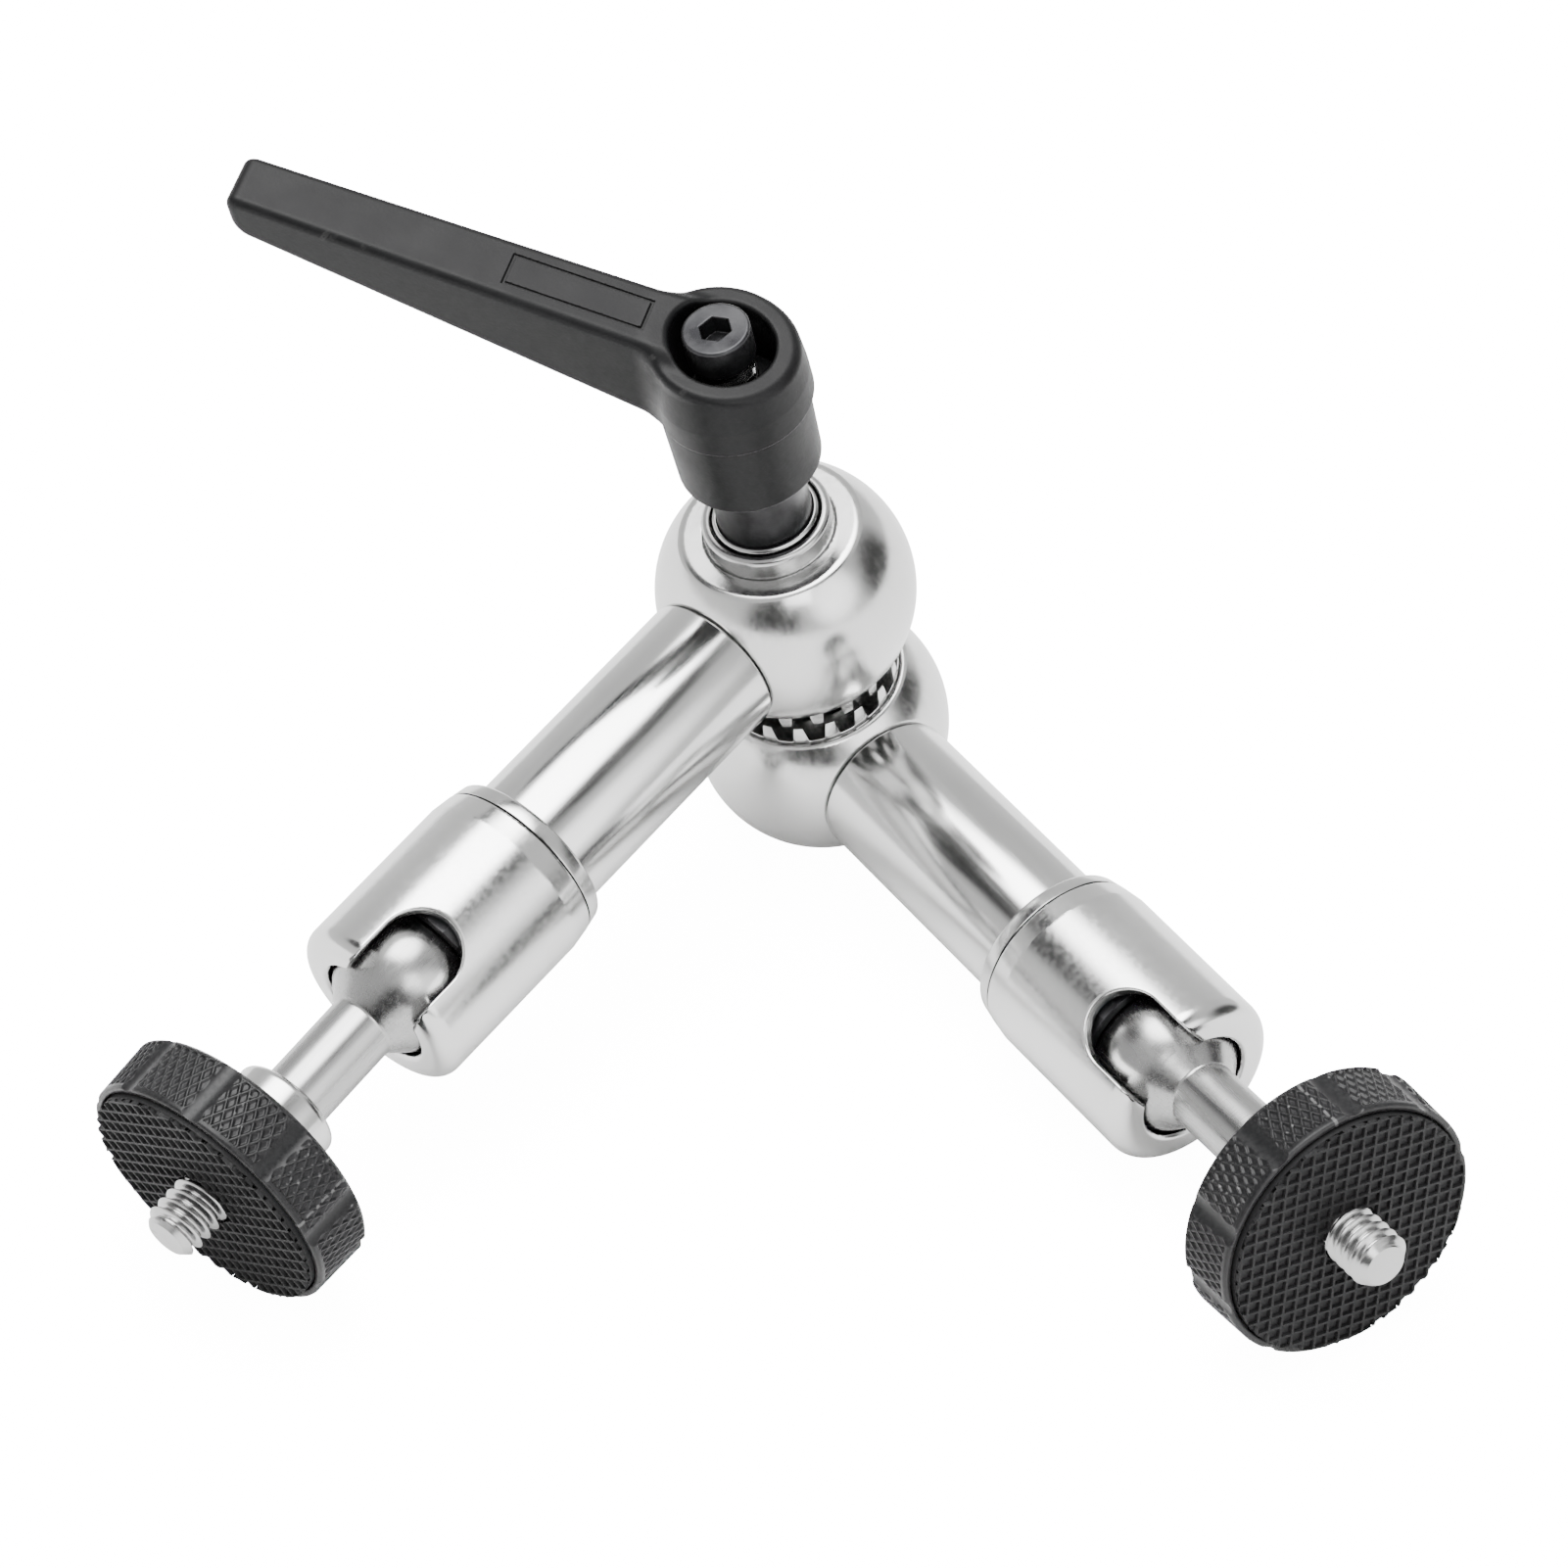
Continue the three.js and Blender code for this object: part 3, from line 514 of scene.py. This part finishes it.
# ---- knuckle ----
def knuckle_form(ring_bore):
    """A ball with two flats, bored along Z; Z is counted outwards from the knuckle's middle."""
    outer = ARM_HEIGHT + KNUCKLE_OUTER_FLAT
    inner = ARM_HEIGHT - KNUCKLE_INNER_FLAT
    seat, seat_r = inner + TOOTH_SEAT_DEPTH, TOOTH_RING_R + 0.15
    spot_face, beyond = TUBE_START - 0.1, KNUCKLE_R + 2
    shelf = outer - RING_BORE_DEPTH

    def distance(x, y, z):
        radius = np.hypot(x, y)
        up = z - ARM_HEIGHT
        beside = np.hypot(y, up)
        ball = np.sqrt(x * x + y * y + up * up) - KNUCKLE_R
        body = rounded_max(ball, z - outer, edge=0.35)
        body = rounded_max(body, inner - z, edge=0.3)
        body = cut_by(body, cylinder(beside, x, SPOT_FACE_R, spot_face, beyond), edge=0.12)
        body = cut_by(body, cylinder(beside, x, SPIGOT_R + FIT, SPIGOT_START, KNUCKLE_R), edge=0.1)
        body = cut_by(body, cylinder(beside, x, TUBE_BORE_R, 0, KNUCKLE_R), edge=0.1)
        body = cut_by(body, radius - KNUCKLE_BORE_R, edge=0.15)
        body = cut_by(body, cylinder(radius, z, seat_r, 0, seat), edge=0.15)
        if ring_bore:
            body = cut_by(body, cylinder(radius, z, RING_BORE_R, shelf, outer + 1), edge=0.2)
        return body

    step, margin = 0.24, 0.6
    across = spaced(-KNUCKLE_R - margin, KNUCKLE_R + margin, step)
    return surface_net(distance, across, across, spaced(inner - margin, outer + margin, step))


def tooth_ring_form():
    """A ring of blunt radial teeth that point to the knuckle's middle."""
    seat = ARM_HEIGHT - KNUCKLE_INNER_FLAT + TOOTH_SEAT_DEPTH
    root, tip = ARM_HEIGHT - KNUCKLE_INNER_FLAT - 0.1, 0.2
    outer, inner = TOOTH_RING_R + 0.1, TOOTH_BORE_R
    half_root, half_tip = 0.088, 0.05      # half widths as angles, in radians
    crest_gain, crown = 1.08, 0.001        # a wider crest, and a face a hair higher inside
    toothed_share = 0.9                    # of the ring's depth, counted from its seat

    def toothed(angle, radius, height):
        from_tooth = np.abs((angle * TOOTH_COUNT / TURN + 0.5) % 1 - 0.5) * TURN / TOOTH_COUNT
        rise = np.clip((half_root - from_tooth) / (half_root - half_tip), 0, 1)
        rise = np.minimum(rise * crest_gain, 1)
        share = (seat - height) / (seat - root)
        below = root + (tip - root) * rise - (root - height)
        return radius, np.where(share >= toothed_share, below, height)

    bevel, bevel_height, inset = 0.12, 0.35, 0.3
    outline = [(inner, seat), (inner, root + bevel_height), (inner + bevel, root + crown),
               (inner + inset, root), (outer - inset, root), (outer - bevel, root + crown),
               (outer, root + bevel_height), (outer, seat)]
    return turned(softened(outline, edge=0.1, closed=True), TOOTH_COUNT * 28, closed=True,
                  carve=toothed)


def guide_ring_form():
    """A ring around the stem, its outer edge well rounded and its bore's edge chamfered."""
    outer = ARM_HEIGHT + KNUCKLE_OUTER_FLAT
    shelf, top = outer - RING_BORE_DEPTH, outer + 2.5
    bore, side = 6, RING_BORE_R - FIT
    chamfer, edge = 0.12, 0.7
    outline = [(bore, shelf), (side, shelf), (side, outer + 0.1), (side - chamfer, outer + 0.5)]
    outline += arc(side - chamfer - edge, top - edge, edge, 0, 90)
    outline += [(bore + chamfer, top), (bore, top - chamfer)]
    return turned(outline, closed=True)


def retaining_ring_form():
    """A thin ring that stands a little higher than the guide ring around it."""
    top = ARM_HEIGHT + KNUCKLE_OUTER_FLAT + 2.8
    bottom, bore, side = top - 3.8, 5.15, 5.7
    outline = [(bore, bottom), (side, bottom), (side, top - 0.3), (side - 0.25, top),
               (bore + 0.05, top), (bore, top - 0.2)]
    return turned(softened(outline, edge=0.08, closed=True), closed=True)


def hexagon(x, y, across_flats):
    """The signed distance of a hexagon about Z."""
    return np.max([np.abs(x * math.cos(a) + y * math.sin(a)) for a in np.radians((30, 90, 150))],
                  0) - across_flats / 2


def clamp_bolt_form():
    """The bolt through both knuckles, its socket head in the underside's flat."""
    bottom = -ARM_HEIGHT - KNUCKLE_OUTER_FLAT + 0.4
    head_r, under, shank_r, top = 6.2, bottom + 3.6, 3, 30.5
    key_flats, key_depth = 5, 2.5

    def distance(x, y, z):
        radius = np.hypot(x, y)
        head = rounded_max(radius - head_r, np.maximum(bottom - z, z - under), edge=0.4)
        recess = np.maximum(hexagon(x, y, key_flats), z - bottom - key_depth)
        shank = rounded_max(radius - shank_r, np.maximum(under - 1 - z, z - top), edge=0.5)
        return np.minimum(cut_by(head, recess, edge=0.15), shank)

    across = spaced(-head_r - 0.4, head_r + 0.4, step=0.2)
    return surface_net(distance, across, across, spaced(bottom - 0.5, top + 0.5, step=0.25))


# ---- arms, turned about Z along the arm ----
def tube_form():
    """The tube, with the spigot that the knuckle's bore takes."""
    chamfer = 0.35
    outline = [(TUBE_BORE_R, SPIGOT_START), (SPIGOT_R, SPIGOT_START), (SPIGOT_R, TUBE_START),
               (TUBE_R - chamfer, TUBE_START), (TUBE_R, TUBE_START + chamfer), (TUBE_R, TUBE_END),
               (TUBE_BORE_R, TUBE_END)]
    return turned(softened(outline, edge=0.12, closed=True), 160, closed=True)


def socket_ring_form():
    """The bevelled collar behind the socket."""
    start, end = 41.5, SOCKET_START - 0.15
    bore, rear_r, front_r, chamfer = TUBE_R + FIT, 9.2, 9.8, 0.3
    outline = [(bore, start), (rear_r, start), (rear_r + chamfer, start + chamfer), (front_r, end),
               (bore, end)]
    return turned(softened(outline, edge=0.15, closed=True), 160, closed=True)


def socket_form():
    """The socket about X, its slot open to +Z and to the front."""
    rear_r, rear_end, wall_start = 9.85, 46, 63.2
    mouth_r, seat_r, half_width, nose = 6.3, BALL_R + 0.35, 4.4, 2.1
    chamfer_depth, chamfer_slope, rear_slope = 0.4, 0.707, 0.99

    def distance(x, y, z):
        radius = np.hypot(y, z)
        ahead = x - BALL_AT
        rear = np.interp(x, [SOCKET_START, rear_end], [rear_r, SOCKET_R])
        body = rounded_max(radius - SOCKET_R, x - SOCKET_END, nose)
        body = np.maximum(body, (radius - rear) * rear_slope)
        body = rounded_max(body, SOCKET_START - x, edge=0.2)
        chamfer = (radius - mouth_r - (x - SOCKET_END + chamfer_depth)) * chamfer_slope
        mouth = np.minimum(radius - mouth_r, chamfer)
        ball = np.sqrt(ahead * ahead + radius * radius) - seat_r
        bore = np.maximum(radius - SOCKET_BORE_R, x - wall_start)
        body = cut_by(body, np.minimum(np.minimum(bore, mouth), ball), edge=0.12)
        slot = np.where(ahead < 0, np.hypot(ahead, y), np.abs(y)) - half_width
        return cut_by(body, np.maximum(slot, -z), edge=0.35)

    step, margin = 0.2, 0.6
    along = spaced(SOCKET_START - margin, SOCKET_END + margin, step)
    across = spaced(-SOCKET_R - margin, SOCKET_R + margin, step)
    return surface_net(distance, along, across, across)


# ---- stud, turned about Z along the stud ----
def ball_stud_form():
    """The ball, a collar that narrows to the neck, and the shaft."""
    collar_r, collar_end, neck_end = 5.55, 5.35, 7.15
    collar_step, shoulders = 0.12, [(4.75, 6.0), (4.25, 6.7)]
    meet = 90 - math.degrees(math.asin(collar_r / BALL_R))
    outline = arc(0, 0, BALL_R, -90, meet, 40)
    outline += softened([(collar_r - collar_step, collar_end), *shoulders, (SHAFT_R, neck_end),
                         (SHAFT_R, SHAFT_END), (0, SHAFT_END)], edge=0.25)
    return turned(outline)


def threaded(start, end, major, pitch, tip_r, columns=72):
    """A right-hand thread about Z, with a root-sized start and a chamfered end."""
    depth = 0.6134 * pitch                 # as on a 60 degree thread
    # One turn's profile: where its points are, as shares of the pitch from the crest's middle,
    # and how deep they lie, as shares of the depth, with a flat crest and a rounded root.
    phases = np.array([-0.0625, 0, 0.0625, 0.16, 0.27, 0.36, 0.43, 0.5, 0.57, 0.64, 0.73, 0.84])
    sunk = np.interp(np.abs((phases + 0.5) % 1 - 0.5), [0.0, 0.0625, 0.38, 0.5], [0, 0.06, 0.96, 1])
    turns = np.arange(-2, int((end - start) / pitch) + 2)
    climb = (turns[:, None] + phases[None, :]).reshape(-1, 1)
    angle = TURN * np.arange(columns + 1) / columns
    height = start + pitch * (climb + angle / TURN)
    radius = major - depth * np.tile(sunk, len(turns))[:, None] + 0 * angle
    height = np.clip(height, start, end)
    radius = np.where(height <= start, major - depth, radius)
    radius = np.minimum(radius, tip_r + (end - height))
    radius = np.vstack([0 * radius[:1], radius, 0 * radius[:1]])
    height = np.vstack([height[:1] * 0 + start, height, height[:1] * 0 + end])
    points = np.stack([radius * np.cos(angle), radius * np.sin(angle), height], -1)
    return points.reshape(-1, 3), grid_quads(len(radius), columns + 1, wrap_columns=False)


def camera_screw_form(end):
    """The screw, on a tenon inside the stud's shaft."""
    start, tenon_r, tip_r = 12, 2.2, 2.25
    tenon = [(0, start), (tenon_r, start), (tenon_r, HUB_START), (0, HUB_START)]
    return joined(turned(softened(tenon), 48),
                  threaded(HUB_START - 0.3, end, SCREW_R, SCREW_PITCH, tip_r))


def disc_hub_form():
    """The steel collar behind the disc, its rear edge well rounded."""
    edge = 0.9
    bore, end = SCREW_R + 0.1, DISC_START - FIT
    outline = [(bore, HUB_START), (HUB_R - edge, HUB_START)]
    outline += arc(HUB_R - edge, HUB_START + edge, edge, -75, 0)
    outline += [(HUB_R, end), (bore, end)]
    return turned(outline, closed=True)


def lock_disc_form():
    """A thick disc with ten scallops in its knurled edge and a recess for the pad."""
    columns, diamond = 80, 2.2             # diamonds around, and a diamond's length along the disc
    ridge_height, ridge_half, flank = 0.2, 0.07, 0.15
    groove_r, groove_depth, grooves = 2.4, 0.55, 10
    groove_at = DISC_BACK_R + groove_r - groove_depth
    knurl_start, knurl_end = DISC_START + 0.7, DISC_END - 0.8
    bore, rim, chamfer = SCREW_R + 0.1, DISC_FRONT_R - 0.02, 0.15
    recess_r, floor = PAD_R + 0.15, DISC_END - 1.4
    around = TURN * DISC_BACK_R / columns
    line_gap = 1 / math.hypot(1 / around, 1 / diamond)

    def knurled(angle, radius, height):
        across, along = angle * columns / TURN, (height - DISC_START) / diamond
        nearest = np.minimum(*[np.abs((family + 0.5) % 1 - 0.5) * line_gap
                               for family in (across + along, across - along)])
        sunk = ridge_height * np.clip((nearest - ridge_half) / flank, 0, 1)
        knurl = (radius > rim) & (height > knurl_start) & (height < knurl_end)
        return scalloped(angle, np.where(knurl, radius - sunk, radius)), height

    def scalloped(angle, radius):
        turn = (((angle + math.pi) * grooves / TURN + 0.5) % 1 - 0.5) * TURN / grooves
        inside = np.maximum(groove_r ** 2 - (groove_at * np.sin(turn)) ** 2, 0)
        limit = np.where(inside > 0, groove_at * np.cos(turn) - np.sqrt(inside), np.inf)
        return np.where(radius > recess_r + 0.3, np.minimum(radius, limit), radius)

    # The wall has a row of points about every eighth of a millimetre, for the knurl.
    wall = [(np.interp(z, [DISC_START, DISC_END], [DISC_BACK_R, DISC_FRONT_R + 0.05]), z)
            for z in np.arange(DISC_START + 0.55, DISC_END - 0.15, 0.13)]
    outline = [(bore, DISC_START), (6, DISC_START), (13, DISC_START), (14.3, DISC_START),
               (14.55, DISC_START + 0.12), (14.85, DISC_START + 0.4), *wall,
               (rim, DISC_END - 0.08), (DISC_FRONT_R - chamfer, DISC_END),
               (recess_r + chamfer, DISC_END), (recess_r, DISC_END - chamfer), (recess_r, floor),
               (bore, floor)]
    return turned(outline, columns * 14, closed=True, carve=knurled)


def grip_pad_form(turn):
    """A rubber washer with a square grid of thin raised ribs on its face, turned by that angle."""
    pitch, rib, foot, depth = 1.5, 0.14, 0.24, 0.38    # rib and foot are half widths
    top, bore = DISC_END + PAD_PROUD, SCREW_R + 0.12
    bottom, side, field = DISC_END - 1.35, PAD_R - 0.01, top - depth - 0.02
    count = int(PAD_R / pitch) + 2
    line = np.concatenate([k * pitch + np.array([-foot, -rib, rib, foot])
                           for k in range(-count, count + 1)])
    high = np.tile([False, True, True, False], 2 * count + 1)
    u, v = np.meshgrid(line, line, indexing="ij")
    raised = high[:, None] | high[None, :]
    radius = np.hypot(u, v)
    edge = np.clip(radius, bore, PAD_R) / np.maximum(radius, 1e-6)
    x, y = u * edge, v * edge
    height = np.where(raised, top, top - depth)
    points = np.stack([x * math.cos(turn) - y * math.sin(turn),
                       x * math.sin(turn) + y * math.cos(turn), height], -1).reshape(-1, 3)
    faces = grid_quads(*u.shape, wrap_columns=False)
    distance = radius.reshape(-1)[faces]
    kept = ~((distance >= PAD_R).all(1) | (distance <= bore).all(1))
    washer = [(bore, bottom), (side, bottom), (side, field), (bore, field)]
    return joined((points, faces[kept]), turned(washer, closed=True))


# ---- lever ----
def lever_form():
    """The hub and the grip that rises from it, cast as one, with a framed field on the grip."""
    line = 42.9                            # the sleeve ends here and the wider head starts
    sleeve_radii = [7.6, 7.85]             # at its bottom and at the line
    head_heights, head_radii, head_offset = [40, 43, 46, 50.4, 60], [8.0, 8.15, 8.1, 7.7, 7.6], 0.35
    head_slope, grip_slope = math.radians(13), math.radians(17.9)
    reach, grip_top, grip_bottom, bottom_start, end_depth = 50, 51.8, 42.2, 7, 5.3
    half_widths = [4.1, 3.3]               # of the grip, at the hub and at its end
    end_top = grip_top + reach * math.tan(grip_slope)
    bottom_slope = math.atan2(end_top - end_depth - grip_bottom, reach - bottom_start)
    recess_r, recess_floor, stem_bore_r, stem_bore_top, screw_bore_r = 5.3, 43.5, 6.25, 38, 2.3
    field_middle, field_half, field_width, line_half, line_depth = 14.3, 7.1, 1.85, 0.16, 0.22

    def grip_and_top(x, y, z):
        """The grip, and the distance above its top face."""
        top = (z - grip_top) * math.cos(grip_slope) - x * math.sin(grip_slope)
        low = grip_bottom + np.maximum(x - bottom_start, 0) * math.tan(bottom_slope)
        below = (low - z) * math.cos(bottom_slope)
        side = np.abs(y) - np.interp(x, [0, reach], half_widths)
        tall = rounded_max(np.maximum(top, below), x - reach, edge=1.7)
        return np.maximum(rounded_max(side, tall, edge=0.95), -x), top

    def distance(x, y, z):
        radius, head_radius = np.hypot(x, y), np.hypot(x + head_offset, y)
        sleeve = radius - np.interp(z, [HUB_BOTTOM, line], sleeve_radii)
        sleeve = rounded_max(sleeve, np.maximum(HUB_BOTTOM - z, z - line - 1), edge=0.5)
        above = (z - HUB_TOP) * math.cos(head_slope) - x * math.sin(head_slope)
        head = rounded_max(head_radius - np.interp(z, head_heights, head_radii), above, edge=0.9)
        head = rounded_max(head, line - z, edge=0.22)
        grip, top = grip_and_top(x, y, z)
        body = np.minimum(blended_min(head, grip, reach=1.7), sleeve)
        frame_line = np.abs(np.maximum(np.abs(x - field_middle) - field_half,
                                       np.abs(y) - field_width)) - line_half
        body = cut_by(body, np.maximum(frame_line, -top - line_depth), edge=0.05)
        body = cut_by(body, np.maximum(head_radius - recess_r, recess_floor - z), edge=0.5)
        body = cut_by(body, np.maximum(radius - stem_bore_r, z - stem_bore_top), edge=0.3)
        return cut_by(body, radius - screw_bore_r, edge=0.2)

    step, margin = 0.25, 0.8
    field_ends = (field_middle - field_half, field_middle + field_half)
    xs = spaced(-9.2, reach + margin, step, field_ends)
    ys = spaced(-8.8, 8.8, step, (-field_width, field_width))
    return surface_net(distance, xs, ys, spaced(HUB_BOTTOM - margin, end_top + margin, step))


def lever_stem_form():
    """The nut that the lever turns: a shaft, a collar inside the hub and a splined head."""
    splines, spline_depth, spline_start = 12, 0.5, 37.6
    shaft_r, collar_r, bolt_bore_r, screw_bore_r = 5.1, 5.85, 3.3, 2.3
    bottom, shoulder, bore_step, top = 19, 33.4, 30.8, 41.2

    def splined(angle, radius, height):
        rib = 0.5 + 0.5 * np.tanh(6 * np.sin(angle * splines))
        spline = (height > spline_start) & (radius > shaft_r + 0.1)
        return np.where(spline, radius - spline_depth * (1 - rib), radius), height

    outline = [(bolt_bore_r, bottom), (shaft_r, bottom), (shaft_r, shoulder), (collar_r, shoulder),
               (collar_r, spline_start - 0.1), (collar_r, spline_start + 0.1), (collar_r, top),
               (screw_bore_r, top), (screw_bore_r, bore_step), (bolt_bore_r, bore_step)]
    return turned(softened(outline, edge=0.2, closed=True), 192, closed=True, carve=splined)


def cap_screw_form():
    """The socket cap screw that holds the lever on the stem."""
    head_r, top, under, shank_r, bottom = 3.6, 53.4, 49.4, 2, 33
    key_flats, key_depth = 3, 2.2

    def distance(x, y, z):
        radius = np.hypot(x, y)
        head = rounded_max(radius - head_r, np.maximum(under - z, z - top), edge=0.35)
        recess = np.maximum(hexagon(x, y, key_flats), top - key_depth - z)
        shank = rounded_max(radius - shank_r, np.maximum(bottom - z, z - under - 1), edge=0.3)
        return np.minimum(cut_by(head, recess, edge=0.12), shank)

    across = spaced(-head_r - 0.3, head_r + 0.3, step=0.14)
    return surface_net(distance, across, across, spaced(bottom - 0.4, top + 0.4, step=0.16))


# ---- assembly ----
PAD_TURN = {"upper": math.radians(-30), "lower": math.radians(45)}
DISC_ROLL = {"upper": math.radians(3.1), "lower": math.radians(12.3)}
TOOTH_PHASE = {"upper": math.pi / TOOTH_COUNT, "lower": 0}    # so that teeth face gaps


def disc_advance(arm):
    """How far the lock disc has been screwed forward from DISC_START, from the CAD's pad face."""
    offset = MOUNT_AT[f"{arm}_pad_face"] - point_of(f"{arm}_ball_tilt")
    return offset.dot(axis_of(f"{arm}_disc_travel")) / MM - DISC_END - PAD_PROUD


def screw_end(arm):
    """How far the camera screw's tip is from the ball's centre."""
    return (MOUNT_AT[f"{arm}_screw_tip"] - point_of(f"{arm}_ball_tilt")).length / MM


def add_half(arm):
    """One arm's pieces, from its half of the knuckle to its rubber pad."""
    frames = ARM[arm]
    stand_in(f"{arm}_knuckle", knuckle_form(arm == "upper"), frames["core"], SATIN)
    stand_in(f"{arm}_tooth_ring", tooth_ring_form(),
             frames["core"] @ Matrix.Rotation(TOOTH_PHASE[arm], 4, "Z"), SATIN, sharp=40)
    tube = turned_about_x(frames["tube"])
    stand_in(f"{arm}_arm_tube", tube_form(), tube, TUBE)
    stand_in(f"{arm}_socket_ring", socket_ring_form(), tube, SATIN)
    stand_in(f"{arm}_socket", socket_form(), frames["slot"], SOCKET)
    stud = turned_about_x(frames["stud"])
    stand_in(f"{arm}_ball_stud", ball_stud_form(), stud, SHADED_STUD_STEEL)
    stand_in(f"{arm}_camera_screw", camera_screw_form(screw_end(arm)), stud, POLISHED, sharp=45)
    nut = stud @ Matrix.Translation((0, 0, disc_advance(arm) * MM))
    stand_in(f"{arm}_disc_hub", disc_hub_form(), nut, SATIN)
    stand_in(f"{arm}_lock_disc", lock_disc_form(),
             nut @ Matrix.Rotation(DISC_ROLL[arm], 4, "Z"), ANODISED, sharp=50)
    stand_in(f"{arm}_grip_pad", grip_pad_form(PAD_TURN[arm]), nut, RUBBER, sharp=20)


def add_middle():
    """The rings, bolt and lever around the knuckle's axis."""
    stand_in("stem_guide_ring", guide_ring_form(), KNUCKLE, POLISHED)
    stand_in("stem_retaining_ring", retaining_ring_form(), KNUCKLE, POLISHED)
    stand_in("clamp_bolt", clamp_bolt_form(), KNUCKLE, SATIN)
    stand_in("lever_stem", lever_stem_form(), LEVER, OXIDE)
    stand_in("lever_handle", lever_form(), LEVER, CASTING)
    stand_in("lever_cap_screw", cap_screw_form(), LEVER, OXIDE)


def finish_cad_nodes():
    """The pieces inside keep their CAD shapes and take a finish."""
    for name, node in frame["nodes"].items():
        for socket in node.material_slots:
            socket.material = SLOT_MATERIAL[SLOT_OF[name]]


# ---- stage ----
FLOOR_GLOW = 14.0            # what the camera sees of the floor and the room
ROOM_GLOW = 1.0
HORIZON_GLOW = 1.3
# azimuth from +Y towards +X, elevation, reach and blur in degrees, and strength
SOFTBOXES = [(-30, 80, 17, 12, 14.0), (130, 24, 8, 20, 3.2)]
ROOM_GAPS = [(-80, 44, 7, 12, 0.95), (108, 65, 4, 11, 0.92), (76, 9, 11, 19, 0.93),
             (-173, 9, 13, 18, 0.93)]


def add_floor():
    """A pale paper floor that looks plain white from the camera."""
    size = 4.0
    mesh = bpy.data.meshes.new("floor")
    corners = [(-size, -size, 0), (size, -size, 0), (size, size, 0), (-size, size, 0)]
    mesh.from_pydata(corners, [], [(0, 1, 2, 3)])
    floor = bpy.data.objects.new("floor", mesh)
    bpy.context.scene.collection.objects.link(floor)
    paper = Shader("paper", base_color=(0.9, 0.9, 0.9, 1), roughness=0.9)
    seen = paper.add("ShaderNodeLightPath").node.outputs["Is Camera Ray"]
    paper.tree.links.new(paper.math("MULTIPLY", seen, FLOOR_GLOW),
                         paper.surface.inputs["Emission Strength"])
    paper.surface.inputs["Emission Color"].default_value = (1, 1, 1, 1)
    mesh.materials.append(paper.material)


def add_world():
    """A pale tent around the table: two softboxes, a paler horizon and dark gaps in the walls.

    The camera itself sees the room as white as the floor.
    """
    world = bpy.data.worlds.new("studio")
    world.use_nodes = True
    bpy.context.scene.world = world
    tree = world.node_tree

    def add(kind, *inputs, **settings):
        node = tree.nodes.new(kind)
        for key, value in settings.items():
            setattr(node, key, value)
        for socket, value in zip(node.inputs, inputs):
            if isinstance(value, bpy.types.NodeSocket):
                tree.links.new(value, socket)
            elif value is not None:
                socket.default_value = value
        return node

    def combine(operation, a, b):
        return add("ShaderNodeMath", a, b, operation=operation).outputs[0]

    direction = add("ShaderNodeTexCoord").outputs["Generated"]

    def patch(azimuth, elevation, reach, blur, strength):
        """That strength within reach degrees of the direction, fading to 0 over blur more."""
        around, up = math.radians(azimuth), math.radians(elevation)
        towards = (math.sin(around) * math.cos(up), math.cos(around) * math.cos(up), math.sin(up))
        nearness = add("ShaderNodeVectorMath", direction, towards, operation="DOT_PRODUCT")
        return add("ShaderNodeMapRange", nearness.outputs["Value"],
                   math.cos(math.radians(reach + blur)), math.cos(math.radians(reach)), 0.0,
                   strength, interpolation_type="SMOOTHSTEP").outputs[0]

    horizon_top = 0.5        # as the height of a direction of length 1
    height = add("ShaderNodeSeparateXYZ", direction).outputs["Z"]
    level = add("ShaderNodeMapRange", height, 0.0, horizon_top, HORIZON_GLOW,
                ROOM_GLOW).outputs[0]
    for gap in ROOM_GAPS:
        level = combine("MULTIPLY", level, combine("SUBTRACT", 1.0, patch(*gap)))
    for box in SOFTBOXES:
        level = combine("ADD", level, patch(*box))
    seen = add("ShaderNodeLightPath").outputs["Is Camera Ray"]
    mix = add("ShaderNodeMix", seen)
    tree.links.new(level, mix.inputs[2])
    mix.inputs[3].default_value = FLOOR_GLOW
    tree.links.new(mix.outputs[0], tree.nodes["Background"].inputs["Strength"])
    tree.nodes["Background"].inputs["Color"].default_value = (1, 1, 1, 1)


def add_front_fill():
    """A weak soft light from the front, aimed at the middle of the arm."""
    at, aim = Vector((0.15, -0.55, 0.5)), Vector((0, 0, 0.03))
    light = bpy.data.lights.new("front_fill", "AREA")
    light.shape = "SQUARE"
    light.size = 0.3
    light.energy = 1.5
    lamp = bpy.data.objects.new("front_fill", light)
    bpy.context.scene.collection.objects.link(lamp)
    lamp.location = at
    lamp.rotation_euler = (aim - at).to_track_quat("-Z", "Y").to_euler()


def add_camera():
    """The photograph's viewpoint, held in the knuckle's frame."""
    at = Vector((245.5, 316.0, 479.6)) * MM
    view = Vector((-0.376, -0.499, -0.781))
    up = Vector((-0.671, -0.435, 0.601))
    data = bpy.data.cameras.new("camera")
    data.lens = 132.37
    data.sensor_width = 36
    data.clip_start = 0.05
    camera = bpy.data.objects.new("camera", data)
    bpy.context.scene.collection.objects.link(camera)
    back = -view.normalized()
    right = up.cross(back).normalized()
    place = Matrix((right, back.cross(right), back)).transposed().to_4x4()
    place.translation = at
    camera.matrix_world = KNUCKLE @ place
    bpy.context.scene.camera = camera


for arm_name in ARM:
    add_half(arm_name)
add_middle()
finish_cad_nodes()
add_floor()
add_world()
add_front_fill()
add_camera()
